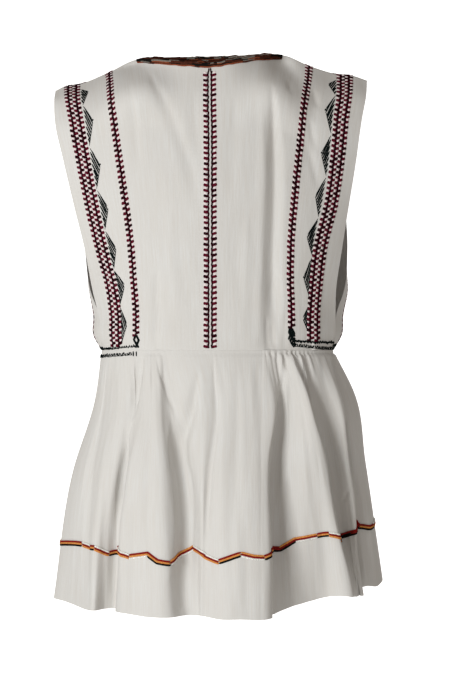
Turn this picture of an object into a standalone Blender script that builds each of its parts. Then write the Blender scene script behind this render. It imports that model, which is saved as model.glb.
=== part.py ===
"""Sleeveless embroidered folk top: a bodice cut square and folded over the shoulders, long open armholes,
and a skirt gathered into the waist seam. The cloth keeps the rounded, hollow form that it has when worn.

Metres, +Z up, the front faces -Y. The origin is between the shoulders, at the height of the neck corners.
Left is -X, as seen from the front."""

import math

import bpy
import numpy as np

# Driving dimensions, in millimetres
CLOTH = 1.6
SEAM_GAP = 0.3
WAIST_Z = -452.0
OUTER_PLAIN = 18.0  # from the armhole edge to the wide embroidered band
WIDE_BAND = 28.0
STRIP_PLAIN = 43.0  # from the wide band to the narrow band, which covers the strip's seam
BINDING_HEIGHT = 7.0
BINDING_THICK = 2.6
NECK_GAP = 0.6  # between the binding and the panel, where both bend
CORNER_GAP = 1.8  # more room at the two sharp corners of the neck
BRAID_HEIGHT = 9.0
BRAID_THICK = 2.2
LEAD_IN = 6.0  # both sides of the waist seam start straight up and down

# Sections of the bodice, from the waist to just under the shoulder crease.
# share of the height, middle, half width and depth in front, the same behind, roundness,
# where the back's left and right edges lie, in degrees behind the widest point
SECTIONS = (
    ("waist", 0.000, 10, 180, 112, 180, 100, 2.1, -14, -12),
    ("seam", 0.060, 10, 192, 114, 192, 102, 2.1, -20, -20),
    ("low", 0.128, 11, 193, 115, 193, 104, 2.1, -20, -21),
    ("ribs", 0.238, 11, 201, 117, 201, 106, 2.1, -12, -15),
    ("bust", 0.398, 8, 222, 120, 205, 108, 2.0, 3, 3),
    ("chest", 0.578, 2, 249, 122, 217, 110, 1.9, 14, 14),
    ("yoke", 0.759, 0, 286, 116, 234, 104, 1.8, 18, 18),
    ("shoulder", 0.919, -3, 318, 108, 252, 88, 1.7, 20, 20),
)

# Lines down the front, and how far each lies from the middle at each section.
# waist, low, ribs, bust, chest, yoke, shoulder
LINES = (
    ("edge_left", -166, -172, -181, -192, -208, -224, -237),
    ("wide_outer_left", -152, -154, -161, -176, -192, -206, -218),
    ("wide_inner_left", -135, -137, -140, -154, -168, -181, -191),
    ("narrow_left", -110, -112, -115, -120, -130, -141, -150),
    ("neck_left", -82, -80, -78, -83, -88, -95, -103),
    ("collar_left", -60, -60, -59, -62, -65, -70, -76),
    ("quarter_left", -39, -40, -40, -41, -43, -46, -49),
    ("centre", 0, 0, 0, 0, 0, 0, -1),
    ("quarter_right", 39, 40, 41, 44, 47, 49, 51),
    ("collar_right", 58, 59, 61, 64, 67, 70, 76),
    ("neck_right", 78, 79, 81, 84, 88, 92, 101),
    ("narrow_right", 124, 122, 120, 121, 127, 135, 142),
    ("wide_inner_right", 152, 151, 152, 155, 169, 180, 186),
    ("wide_outer_right", 167, 167, 170, 180, 197, 206, 213),
    ("edge_right", 188, 191, 191, 200, 211, 222, 231),
)

# The top of each line: on the shoulder fold, or on the neck edge in front and behind.
# x, y, z, run forward and down to the crease, then y and z of the neck edge behind
TOPS = (
    ("edge_left", -241, -15, -51, 35, 20, -15, -51),
    ("wide_outer_left", -227, -15, -44, 39, 25, -15, -44),
    ("wide_inner_left", -202, -15, -40, 45, 28, -15, -40),
    ("narrow_left", -158, -15, -22, 30, 15, -15, -22),
    ("neck_left", -115, -12, -2, 18, 15, -12, -2),
    ("collar_left", -89, -55, -9, 6, 12, 36, 9),
    ("quarter_left", -52, -80, -15, 4, 12, 62, 14),
    ("centre", -1, -92, -21, 4, 12, 72, 17),
    ("quarter_right", 52, -80, -10, 4, 12, 62, 17),
    ("collar_right", 84, -53, -3, 6, 12, 36, 15),
    ("neck_right", 110, -12, 5, 18, 22, -12, 5),
    ("narrow_right", 152, -15, -12, 40, 30, -15, -12),
    ("wide_inner_right", 195, -15, -25, 47, 38, -15, -25),
    ("wide_outer_right", 222, -15, -28, 41, 35, -15, -28),
    ("edge_right", 242, -15, -35, 35, 30, -15, -35),
)
FACET = 0.09  # the shoulder facet's share of the height, past the crease

# Soft creases pressed into the front: from x, z to x, z, half width, depth
CREASES = (
    (-95, -30, -62, -95, 9, 3.0),
    (-62, -95, -35, -165, 11, 4.0),
    (-35, -165, -20, -225, 10, 3.0),
    (84, -60, 88, -160, 9, 3.0),
    (88, -160, 84, -260, 11, 3.5),
    (84, -260, 78, -440, 8, 2.5),
    (-79, -330, -84, -440, 8, 2.0),
    (158, -60, 142, -190, 12, 2.5),
    (98, -330, 104, -440, 7, 3.0),
)

# Folds of the skirt in front, left to right: place on the waist in degrees from the front,
# then x and y a fifth and half of the way down, x, y and z at the hem, and the braid's height over the hem
FRONT_FOLDS = (
    ("left_side", -83, -181, 2, -215, 8, -247, 28, -844, 87),
    ("left_soft", -71, -172, -32, -198, -34, -222, -12, -844, 89),
    ("left_valley", -64, -160, -50, -181, -53, -193, -58, -847, 98),
    ("left_ridge", -57, -147, -69, -166, -77, -177, -82, -846, 94),
    ("left_dip", -51, -132, -82, -148, -86, -161, -64, -846, 87),
    ("cut_1_under", -45, -118, -88, -131, -84, -136, -66, -846, 85),
    ("cut_1_edge", -41, -111, -90, -130, -99, -143, -94, -845, 95),
    ("cut_1_crown", -37, -99, -103, -115, -119, -120, -126, -844, 86),
    ("seam_left", -32, -88, -111, -91, -133, -91, -147, -845, 92),
    ("left_crown", -28, -75, -113, -68, -138, -60, -153, -845, 80),
    ("hollow_1", -25, -60, -104, -45, -114, -34, -130, -845, 95),
    ("left_mid", -20, -39, -113, -27, -124, -18, -133, -845, 94),
    ("centre_left", -11, -11, -121, -12, -139, -13, -142, -844, 92),
    ("crease", -4, 8, -120, -1, -139, -4, -146, -845, 89),
    ("centre_crown", 2, 24, -124, 18, -151, 18, -165, -846, 86),
    ("centre_right", 11, 49, -125, 46, -154, 45, -170, -845, 96),
    ("seam_right", 21, 76, -122, 74, -150, 75, -168, -846, 91),
    ("cut_2_edge", 23, 94, -118, 87, -143, 91, -153, -845, 98),
    ("cut_2_under", 26, 101, -106, 91, -119, 90, -127, -845, 97),
    ("cut_2_floor", 28, 106, -101, 99, -104, 101, -110, -845, 95),
    ("right_rise", 31, 118, -110, 116, -109, 123, -92, -838, 98),
    ("right_panel", 34, 131, -118, 137, -118, 150, -80, -832, 99),
    ("right_swell", 37, 143, -121, 158, -119, 178, -74, -826, 95),
    ("cut_3_crown", 39, 149, -119, 171, -113, 201, -88, -823, 88),
    ("cut_3_edge", 42, 153, -112, 177, -103, 216, -82, -825, 88),
    ("cut_3_under", 45, 156, -99, 175, -82, 211, -54, -829, 92),
    ("recess_floor", 47, 164, -88, 183, -64, 216, -38, -832, 97),
    ("recess_face", 53, 177, -84, 199, -60, 226, -42, -831, 98),
    ("cut_4_edge", 61, 194, -78, 211, -58, 236, -38, -830, 100),
    ("cut_4_under", 66, 199, -64, 215, -40, 233, -14, -825, 108),
    ("strip_left", 70, 204, -56, 221, -32, 243, -6, -820, 93),
    ("strip_right", 75, 214, -40, 234, -17, 259, 2, -821, 96),
    ("right_side", 90, 224, -12, 241, 8, 270, 28, -815, 92),
)

# Folds of the skirt behind, right to left: degrees round from the front, how far the fold stands
# out at the hem, the hem's height and the braid's height over the hem
BACK_FOLDS = (
    ("side_right", 104, 2, -818, 98),
    ("back_ridge_1", 115, 12, -824, 86),
    ("back_valley_1", 125, -13, -829, 99),
    ("back_ridge_2", 135, 14, -834, 87),
    ("back_valley_2", 145, -10, -839, 98),
    ("seam_back_right", 154, 4, -842, 90),
    ("back_ridge_3", 164, 12, -845, 86),
    ("back_valley_3", 174, -9, -846, 98),
    ("back_ridge_4", 185, 10, -847, 87),
    ("back_valley_4", 196, -11, -848, 98),
    ("seam_back_left", 206, 3, -848, 91),
    ("back_ridge_5", 215, 13, -848, 86),
    ("back_valley_5", 225, -12, -848, 99),
    ("back_ridge_6", 236, 13, -847, 87),
    ("back_valley_6", 247, -9, -846, 98),
    ("side_left", 257, 3, -845, 90),
)
# Where the back's folds ride: middle, half width, start and depth of the ring at each height
BACK_RINGS = (
    ("upper", 21, 203, 0, 112, 0.25),
    ("middle", 13, 229, 8, 122, 0.6),
    ("hem", 12, 259, 20, 132, 1.0),
)
FOLD_LEVELS = (0.0, 0.2, 0.48, 1.0)

# Gathers under the waist seam: from and to, in degrees round from the front, how many, and
# how they crowd towards the first end
GATHERS = (
    ("front_left", -66, -23, 6, 1.0),
    ("front_right", 21, 90, 11, 0.8),
    ("back_right", 100, 152, 8, 1.0),
    ("back_left", 208, 262, 8, 1.0),
)
GATHER_DEPTH = 0.15  # share of each gather's own width

BODICE_ROWS = (0, 0.013, 0.06, 0.128, 0.183, 0.238, 0.318, 0.398, 0.488, 0.578, 0.668, 0.759)
BODICE_ROWS += (0.839, 0.919, 0.96, 1.0, 1.04, 1.09)
SKIRT_ROWS = (0, 0.015, 0.045, 0.09, 0.15, 0.23, 0.33, 0.44, 0.57, 0.75, 0.75, 0.9, 1.0)
BRAID_ROWS = (9, 10)  # the rows that lie along the braid's two edges instead


def column(table, k):
    """One column of a table, as an array."""
    return np.array([row[k] for row in table], float)


def slopes(knots, values):
    """The slope at each knot of the parabola through it and its two neighbours."""
    gap = np.diff(knots).reshape((-1,) + (1,) * (values.ndim - 1))
    rise = np.diff(values, axis=0) / gap
    inner = (rise[:-1] * gap[1:] + rise[1:] * gap[:-1]) / (gap[1:] + gap[:-1])
    return np.concatenate([rise[:1], inner, rise[-1:]])


def through(knots, values, at):
    """A smooth curve through the values at the knots, read at the places given."""
    knots, values, at = np.asarray(knots, float), np.asarray(values, float), np.asarray(at, float)
    m = slopes(knots, values)
    i = np.clip(np.searchsorted(knots, at, side="right") - 1, 0, len(knots) - 2)
    width = knots[i + 1] - knots[i]
    shape = (-1,) + (1,) * (values.ndim - 1)
    t = ((at - knots[i]) / width).reshape(shape)
    width = width.reshape(shape)
    a, b = values[i], values[i + 1]
    return (
        a * (1 + 2 * t) * (1 - t) ** 2
        + b * t**2 * (3 - 2 * t)
        + m[i] * width * t * (1 - t) ** 2
        - m[i + 1] * width * t**2 * (1 - t)
    )


def between(count, steps):
    """Places at and evenly between whole numbers, from 0 to count - 1."""
    return np.linspace(0, count - 1, (count - 1) * steps + 1)


def section_depth(x, middle, half, depth, roundness):
    """How far forward a section of the bodice lies, at x."""
    t = np.clip(np.abs((x - middle) / half), 0, 1)
    return depth * (1 - t**roundness) ** (1 / roundness)


def ring_point(degrees, middle, half, front, back, roundness):
    """A point of a rounded section, at degrees from the front round to the right."""
    a = np.radians(np.asarray(degrees, float))
    across, along = np.sin(a), np.cos(a)
    x = middle + half * np.sign(across) * np.abs(across) ** (2 / roundness)
    depth = np.where(along > 0, front, back)
    y = -depth * np.sign(along) * np.abs(along) ** (2 / roundness)
    return np.stack([x, y], axis=-1)


def crease_heights(behind):
    """The height of the shoulder crease on each line."""
    if behind:
        return column(TOPS, 7) - 0.7 * column(TOPS, 5)
    return column(TOPS, 3) - column(TOPS, 5)


def front_sections():
    """Every line's point at every section of the front, then at the crease and at the top."""
    crease, rows = crease_heights(False), []
    for k, (name, share, middle, half, depth, _, _, roundness, _, _) in enumerate(SECTIONS):
        x = column(LINES, max(k, 2) if k else 1)
        y = -section_depth(x, middle, half, depth, roundness)
        rows.append(np.stack([x, y, WAIST_Z + share * (crease - WAIST_Z)], axis=1))
    top = np.stack([column(TOPS, k) for k in (1, 2, 3)], axis=1)
    fold = top.copy()
    fold[:, 0] += 0.4 * (rows[-1][:, 0] - top[:, 0])
    fold[:, 1] -= column(TOPS, 4)
    fold[:, 2] = crease
    return np.array(rows + [fold, top])


def back_sections(front):
    """The same lines down the back, the strips at their own widths from the armhole edges."""
    crease, rows = crease_heights(True), []
    strip = np.array([0, OUTER_PLAIN, OUTER_PLAIN + WIDE_BAND, OUTER_PLAIN + WIDE_BAND + STRIP_PLAIN])
    for k, (name, share, middle, _, depth, half, behind, roundness, left, right) in enumerate(SECTIONS):
        degrees = np.linspace(270 - left, 90 + right, 400)
        points = ring_point(degrees, middle, half, depth, behind, roundness)
        run = np.concatenate([[0], np.cumsum(np.linalg.norm(np.diff(points, axis=0), axis=1))])
        x = front[k][:, 0]
        body = (x[3:12] - x[3]) / (x[11] - x[3])
        width = run[-1] - 2 * strip[3]
        at = np.concatenate([strip[:3], strip[3] + body * width, run[-1] - strip[2::-1]])
        xy = [np.interp(at, run, points[:, c]) for c in (0, 1)]
        rows.append(np.stack(xy + [WAIST_Z + share * (crease - WAIST_Z)], axis=1))
    top = np.stack([column(TOPS, k) for k in (1, 6, 7)], axis=1)
    fold = top.copy()
    fold[:, 0] += 0.4 * (rows[-1][:, 0] - top[:, 0])
    fold[:, 1] += 1.2 * column(TOPS, 4)
    fold[:, 2] = crease
    return np.array(rows + [fold, top])


def pressed(grid):
    """The front with its soft creases pressed in."""
    grid = grid.copy()
    for x0, z0, x1, z1, half, depth in CREASES:
        start, along = np.array([x0, z0], float), np.array([x1 - x0, z1 - z0], float)
        off = grid[..., [0, 2]] - start
        t = np.clip((off @ along) / (along @ along), 0, 1)
        away = np.linalg.norm(off - t[..., None] * along, axis=-1) / half
        grid[..., 1] += depth * np.exp(-(away**2))
    return grid


def bodice_grid(sections, steps):
    """A half of the bodice, row by row from the waist up and column by column from left to right."""
    levels = np.append(column(SECTIONS, 1), (1.0, 1.0 + FACET))
    rows = np.array(BODICE_ROWS)
    rows[1] = 0.0
    grid = through(levels, sections, rows)
    grid[1, :, 2] += LEAD_IN
    across = column(LINES, 5)
    at = np.interp(between(len(LINES), steps), np.arange(len(LINES)), across)
    return through(across, grid.swapaxes(0, 1), at).swapaxes(0, 1)


def meet(front, back, hole):
    """Brings the two halves to one line along the shoulder folds, on both sides of the neck hole."""
    for columns in (slice(0, hole[0] + 1), slice(hole[1], None)):
        top = (front[-1, columns] + back[-1, columns]) / 2
        for half in (front, back):
            shift = top - half[-1, columns]
            for row, part in ((-1, 1.0), (-2, 0.6), (-3, 0.2)):
                half[row, columns] += part * shift


def skirt_columns():
    """Each fold's place on the waist, and its points a fifth and half of the way down and at the hem."""
    waist = np.concatenate([column(FRONT_FOLDS, 1), column(BACK_FOLDS, 1)])
    upper, middle, hem = (
        np.stack([column(FRONT_FOLDS, k), column(FRONT_FOLDS, k + 1)], axis=1) for k in (2, 4, 6)
    )
    rings = []
    turn = np.radians(column(BACK_FOLDS, 1))
    for (name, centre, half, start, depth, part), front in zip(BACK_RINGS, (upper, middle, hem)):
        swell = column(BACK_FOLDS, 2) * part
        x = centre + (half + swell) * np.sin(turn)
        y = start - (depth + swell) * np.cos(turn)
        rings.append(np.concatenate([front, np.stack([x, y], axis=1)]))
    hem_z = np.concatenate([column(FRONT_FOLDS, 8), column(BACK_FOLDS, 3)])
    braid = np.concatenate([column(FRONT_FOLDS, 9), column(BACK_FOLDS, 4)])
    return waist, rings, hem_z, braid


def round_ring(values, steps, turn=0.0):
    """Values kept at every fold, and smooth places between them, all the way round."""
    values = np.asarray(values, float)
    values = np.concatenate([values[-2:] - turn, values, values[:3] + turn])
    places = np.concatenate([np.arange(s) / s + k for k, s in enumerate(steps)])
    return through(np.arange(len(values)), values, places + 2)


def gather(degrees):
    """How far the gathers stand out under the waist seam, at each place on the waist."""
    out = np.zeros(len(degrees))
    for name, start, end, count, crowd in GATHERS:
        share = np.clip((degrees - start) / (end - start), 0, 1)
        phase = count * share**crowd
        width = 2.55 * (end - start) / count / np.maximum(crowd * np.maximum(share, 0.05) ** (crowd - 1), 0.3)
        window = np.clip(np.minimum(share, 1 - share) * count, 0, 1)
        out += GATHER_DEPTH * width * window * np.sin(2 * math.pi * phase)
    seams = [row[1] for row in FRONT_FOLDS + BACK_FOLDS if row[0].startswith("seam")]
    apart = np.abs(degrees[:, None] - np.array(seams)).min(axis=1)
    return out * np.clip(apart - 1.5, 0, 1)


def skirt_grid(steps):
    """The skirt, row by row from the waist down and column by column round from the left side."""
    waist, rings, hem_z, braid = skirt_columns()
    degrees = round_ring(waist, steps, 360.0)
    name, share, middle, half, front, _, behind, roundness, _, _ = SECTIONS[0]
    top = ring_point(degrees, middle, half, front, behind, roundness)
    levels = np.array([top] + [round_ring(r, steps) for r in rings])
    drop = round_ring(hem_z, steps) - WAIST_Z + SEAM_GAP
    rows = np.array(SKIRT_ROWS)
    share = np.repeat(rows[:, None], len(degrees), axis=1)
    height = round_ring(braid, steps)
    for row, side in zip(BRAID_ROWS, (1, -1)):
        share[row] = 1 + (height + side * BRAID_HEIGHT / 2) / drop
    bent = np.where(share <= 0.015, 0, share)
    flat = np.stack([through(FOLD_LEVELS, levels[:, k], bent[:, k]) for k in range(len(degrees))], axis=1)
    out = np.roll(top, -1, axis=0) - np.roll(top, 1, axis=0)
    out = np.stack([out[:, 1], -out[:, 0]], axis=1)
    out /= np.linalg.norm(out, axis=1, keepdims=True)
    fade = np.interp(rows, (0.015, 0.045, 0.09, 0.23), (0, 1, 0.9, 0))
    flat += fade[:, None, None] * (gather(degrees)[:, None] * out)[None]
    z = WAIST_Z - SEAM_GAP + share * drop
    return np.concatenate([flat, z[..., None]], axis=2)


def inset(grid, gap, edges):
    """A panel's grid with the named edges drawn in by half a seam's gap."""
    grid = grid.copy()
    for edge in edges:
        side, near = {
            "left": ((slice(None), 0), (slice(None), 1)),
            "right": ((slice(None), -1), (slice(None), -2)),
            "first": ((0,), (1,)),
            "last": ((-1,), (-2,)),
        }[edge]
        step = grid[near] - grid[side]
        grid[side] += step / np.linalg.norm(step, axis=-1, keepdims=True) * gap / 2
    return grid


def material(name, colour, roughness):
    """A plain material in the part's colour."""
    m = bpy.data.materials.new(name)
    m.use_nodes = True
    shader = m.node_tree.nodes["Principled BSDF"]
    shader.inputs["Base Color"].default_value = (*colour, 1.0)
    shader.inputs["Roughness"].default_value = roughness
    m.diffuse_color = (*colour, 1.0)
    return m


def sheet(name, points, faces, colour, thick, where):
    """An open surface, given its wall by Solidify, half of it on each side."""
    mesh = bpy.data.meshes.new(name)
    mesh.from_pydata((np.asarray(points) / 1000).tolist(), [], faces)
    mesh.update()
    obj = bpy.data.objects.new(name, mesh)
    obj.data.materials.append(material(name, *colour))
    wall = obj.modifiers.new("cloth", "SOLIDIFY")
    wall.thickness = thick / 1000
    wall.offset = 0.0
    wall.use_even_offset = True
    wall.use_quality_normals = True
    where.objects.link(obj)
    return obj


def quads(rows, columns, start=0, closed=False):
    """The faces of a grid of points, row after row, turned to face out of the garment."""
    faces = []
    for r in range(rows - 1):
        for c in range(columns if closed else columns - 1):
            d = (c + 1) % columns
            a, b = start + r * columns, start + (r + 1) * columns
            faces.append((a + c, a + d, b + d, b + c))
    return faces


def flip(faces):
    return [tuple(reversed(f)) for f in faces]


def folded(name, front, back, hole, colour, where):
    """A piece cut in one, up the front, over the shoulder fold and down the back. Between the two
    columns of hole the top edges stay apart, which leaves the neck open."""
    rows, columns = front.shape[:2]
    points = np.concatenate([front.reshape(-1, 3), back.reshape(-1, 3)])
    faces = quads(rows, columns) + flip(quads(rows, columns, rows * columns))
    top, shift = (rows - 1) * columns, rows * columns
    joined = {shift + top + c: top + c for c in range(columns) if not hole[0] < c < hole[1]}
    faces = [tuple(joined.get(v, v) for v in f) for f in faces]
    keep = [v for v in range(len(points)) if v not in joined]
    place = {v: k for k, v in enumerate(keep)}
    faces = [tuple(place[v] for v in f) for f in faces]
    return sheet(name, points[keep], faces, colour, CLOTH, where)


def neck_edge(front, back, hole):
    """The neck edge all the way round, and from each of its points the way into the cloth. At the two
    corners that is out along the shoulder fold."""
    a, b = hole
    loop = np.concatenate([front[-1, a:b + 1], back[-1, b - 1:a:-1]])
    under = np.concatenate([front[-3, a:b + 1], back[-3, b - 1:a:-1]])
    under[0], under[b - a] = front[-1, a - 1], front[-1, b + 1]
    down = under - loop
    down /= np.linalg.norm(down, axis=1, keepdims=True)
    return loop, down


def trim_neck(front, back, hole, loop, down):
    """Takes the height of the binding off the neck edge of both halves."""
    a, b = hole
    count = b - a + 1
    height = np.full((len(loop), 1), BINDING_HEIGHT + NECK_GAP)
    height[[0, count - 1]] += CORNER_GAP
    edge = loop + down * height
    front[-1, a:b + 1] = edge[:count]
    back[-1, a:b + 1] = np.concatenate([edge[:1], edge[:count - 1:-1], edge[count - 1:count]])
    for half in (front, back):
        half[-2, a:b + 1] = (half[-1, a:b + 1] + half[-3, a:b + 1]) / 2


def neck_binding(loop, down, colour, where):
    """A band as high as the binding, thicker than the cloth, that ends the neck edge."""
    points = np.concatenate([loop + down * BINDING_HEIGHT, loop])
    faces = quads(2, len(loop), closed=True)
    return sheet("neck_binding", points, faces, colour, BINDING_THICK, where)


def mitred(high, low, distance):
    """Steps outwards from a closed band that keep its moved faces the distance away from it."""
    face = np.cross(np.roll(high, -1, axis=0) - high, high - low)
    face /= np.linalg.norm(face, axis=1, keepdims=True)
    out = face + np.roll(face, 1, axis=0)
    out /= np.linalg.norm(out, axis=1, keepdims=True)
    lean = (out * face).sum(axis=1, keepdims=True)
    return out * distance / np.maximum(lean, 0.5)


def hem_braid(skirt, colour, where):
    """A flat band on the skirt's outer face, on its own two rows of points."""
    high, low = skirt[BRAID_ROWS[0]], skirt[BRAID_ROWS[1]]
    lift = mitred(high, low, CLOTH / 2 + SEAM_GAP + BRAID_THICK / 2)
    faces = quads(2, len(high), closed=True)
    points = np.concatenate([low + lift, high + lift])
    return sheet("hem_braid", points, faces, colour, BRAID_THICK, where)


def clear_scene():
    for obj in list(bpy.data.objects):
        bpy.data.objects.remove(obj, do_unlink=True)


def main():
    clear_scene()
    where = bpy.data.collections.new("embroidered_top")
    bpy.context.scene.collection.children.link(where)
    linen = ((0.70, 0.67, 0.61), 0.9)
    binding = ((0.32, 0.09, 0.05), 0.8)
    braid = ((0.45, 0.08, 0.04), 0.8)

    front = front_sections()
    back = back_sections(front)
    steps = 2
    front, back = pressed(bodice_grid(front, steps)), bodice_grid(back, steps)
    narrow_left, neck_left, neck_right, narrow_right = (k * steps for k in (3, 4, 10, 11))
    meet(front, back, (neck_left, neck_right))

    body = [inset(g[:, narrow_left:narrow_right + 1], SEAM_GAP, ("left", "right")) for g in (front, back)]
    hole = (neck_left - narrow_left, neck_right - narrow_left)
    loop, down = neck_edge(*body, hole)
    trim_neck(*body, hole, loop, down)
    folded("body_panel", *body, hole, linen, where)
    for name, a, b, seam in (
        ("shoulder_strip_left", 0, narrow_left, "right"),
        ("shoulder_strip_right", narrow_right, front.shape[1] - 1, "left"),
    ):
        strip = [inset(g[:, a:b + 1], SEAM_GAP, (seam,)) for g in (front, back)]
        armhole = "left" if seam == "right" else "right"
        for g in strip:
            low = inset(g, SEAM_GAP, (armhole,))
            g[:4] = low[:4]
        folded(name, *strip, (-2, -1), linen, where)
    neck_binding(loop, down, binding, where)

    names = [row[0] for row in FRONT_FOLDS + BACK_FOLDS]
    crowded = names.index("cut_2_edge"), names.index("right_side")
    behind = len(FRONT_FOLDS)
    per_fold = [3 if crowded[0] <= k < crowded[1] or k >= behind else 2 for k in range(len(names))]
    starts = np.concatenate([[0], np.cumsum(per_fold)])
    skirt = skirt_grid(per_fold)
    seams = [starts[names.index(n)] for n in ("seam_left", "seam_right", "seam_back_right", "seam_back_left")]
    for k, name in enumerate(("skirt_front", "skirt_side_right", "skirt_back", "skirt_side_left")):
        start, end = seams[k], seams[(k + 1) % 4]
        count = (end - start) % skirt.shape[1]
        columns = (start + np.arange(count + 1)) % skirt.shape[1]
        panel = inset(skirt[:, columns], SEAM_GAP, ("left", "right"))
        faces = flip(quads(panel.shape[0], panel.shape[1]))
        sheet(name, panel.reshape(-1, 3), faces, linen, CLOTH, where)
    hem_braid(skirt, braid, where)


main()
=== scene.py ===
"""Looks of the embroidered sleeveless top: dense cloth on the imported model's own sections and folds, thread
embroidery laid on it stitch by stitch, wool braid above the hem, and a plain studio.

Sizes in the tables are millimetres; every mesh is in metres. +Z is up, the front faces -Y, left is -X."""

import functools
import math

import bpy
import numpy as np
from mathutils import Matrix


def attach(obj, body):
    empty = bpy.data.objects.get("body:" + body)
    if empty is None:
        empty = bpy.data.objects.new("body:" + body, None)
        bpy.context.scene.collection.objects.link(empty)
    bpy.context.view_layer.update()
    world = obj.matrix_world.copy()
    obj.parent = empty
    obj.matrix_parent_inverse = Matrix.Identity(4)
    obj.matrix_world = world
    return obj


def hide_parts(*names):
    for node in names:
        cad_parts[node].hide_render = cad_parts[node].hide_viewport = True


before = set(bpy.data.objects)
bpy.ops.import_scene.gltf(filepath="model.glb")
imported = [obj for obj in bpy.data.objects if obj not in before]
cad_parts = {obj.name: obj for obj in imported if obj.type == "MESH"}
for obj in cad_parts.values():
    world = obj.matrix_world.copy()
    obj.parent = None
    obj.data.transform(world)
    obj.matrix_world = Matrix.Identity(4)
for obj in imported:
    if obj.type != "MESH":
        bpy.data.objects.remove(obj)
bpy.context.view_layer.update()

bl_info = {
    "name": "Embroidered Sleeveless Top",
    "version": (1, 0, 0),
    "blender": (4, 5, 0),
    "location": "View3D > Sidebar > Folk Top",
    "description": "Cloth, embroidery, braid and studio for the embroidered sleeveless top",
    "category": "Object",
}

# The cut, with the model's sizes

CLOTH = 1.0  # the wall as it is seen, thinner than the model's
WAIST_Z = -452.0
OUTER_PLAIN = 18.0  # from the armhole edge to the wide band
WIDE_BAND = 28.0
STRIP_PLAIN = 43.0  # from the wide band to the narrow band, which covers the strip's seam
SEAM_GAP = 0.3
FACET = 0.09  # the shoulder facet's share of the height, past the crease
BODICE_LENGTH = 430.0  # of cloth from the waist to the shoulder crease
BODICE_RISE = 400.0  # the rise to that crease, in which the waist rows' heights are counted
SKIRT_LENGTH = 390.0  # of cloth from the waist to the hem
SKIRT_DROP = 392.0  # straight down from the waist seam to the hem
CUT_LENGTH = 0.96  # of the body panel over the shoulders, in metres, so that the weave behind runs on

# name, share, middle, half width, depth, back half width, back depth, roundness, back edges in degrees
SECTIONS = (
    ("waist", 0.000, 10, 180, 112, 180, 100, 2.1, -14, -12),
    ("seam", 0.060, 10, 192, 114, 192, 102, 2.1, -20, -20),
    ("low", 0.128, 11, 193, 115, 193, 104, 2.1, -20, -21),
    ("ribs", 0.238, 11, 201, 117, 201, 106, 2.1, -12, -15),
    ("bust", 0.398, 8, 222, 120, 205, 108, 2.0, 3, 3),
    ("chest", 0.578, 2, 249, 122, 217, 110, 1.9, 14, 14),
    ("yoke", 0.759, 0, 286, 116, 234, 104, 1.8, 18, 18),
    ("shoulder", 0.919, -3, 318, 108, 252, 88, 1.7, 20, 20),
)

# Lines down the front: how far from the middle at waist, low, ribs, bust, chest, yoke, shoulder
CHEST = 5  # the place at the chest stands for the line in the nets
LINES = (
    ("edge_left", -166, -172, -181, -192, -208, -224, -237),
    ("wide_outer_left", -152, -154, -161, -176, -192, -206, -218),
    ("wide_inner_left", -135, -137, -140, -154, -168, -181, -191),
    ("narrow_left", -110, -112, -115, -120, -130, -141, -150),
    ("neck_left", -82, -80, -78, -83, -88, -95, -103),
    ("collar_left", -60, -60, -59, -62, -65, -70, -76),
    ("quarter_left", -39, -40, -40, -41, -43, -46, -49),
    ("centre", 0, 0, 0, 0, 0, 0, -1),
    ("quarter_right", 39, 40, 41, 44, 47, 49, 51),
    ("collar_right", 58, 59, 61, 64, 67, 70, 76),
    ("neck_right", 78, 79, 81, 84, 88, 92, 101),
    ("narrow_right", 124, 122, 120, 121, 127, 135, 142),
    ("wide_inner_right", 152, 151, 152, 155, 169, 180, 186),
    ("wide_outer_right", 167, 167, 170, 180, 197, 206, 213),
    ("edge_right", 188, 191, 191, 200, 211, 222, 231),
)

# Top of each line: x, y, z, run forward and down to the crease, y and z of the neck edge behind
TOPS = (
    ("edge_left", -241, -15, -51, 35, 20, -15, -51),
    ("wide_outer_left", -227, -15, -44, 39, 25, -15, -44),
    ("wide_inner_left", -202, -15, -40, 45, 28, -15, -40),
    ("narrow_left", -158, -15, -22, 30, 15, -15, -22),
    ("neck_left", -115, -12, -2, 18, 15, -12, -2),
    ("collar_left", -89, -55, -9, 6, 12, 36, 9),
    ("quarter_left", -52, -80, -15, 4, 12, 62, 14),
    ("centre", -1, -92, -21, 4, 12, 72, 17),
    ("quarter_right", 52, -80, -10, 4, 12, 62, 17),
    ("collar_right", 84, -53, -3, 6, 12, 36, 15),
    ("neck_right", 110, -12, 5, 18, 22, -12, 5),
    ("narrow_right", 152, -15, -12, 40, 30, -15, -12),
    ("wide_inner_right", 195, -15, -25, 47, 38, -15, -25),
    ("wide_outer_right", 222, -15, -28, 41, 35, -15, -28),
    ("edge_right", 242, -15, -35, 35, 30, -15, -35),
)

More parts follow.
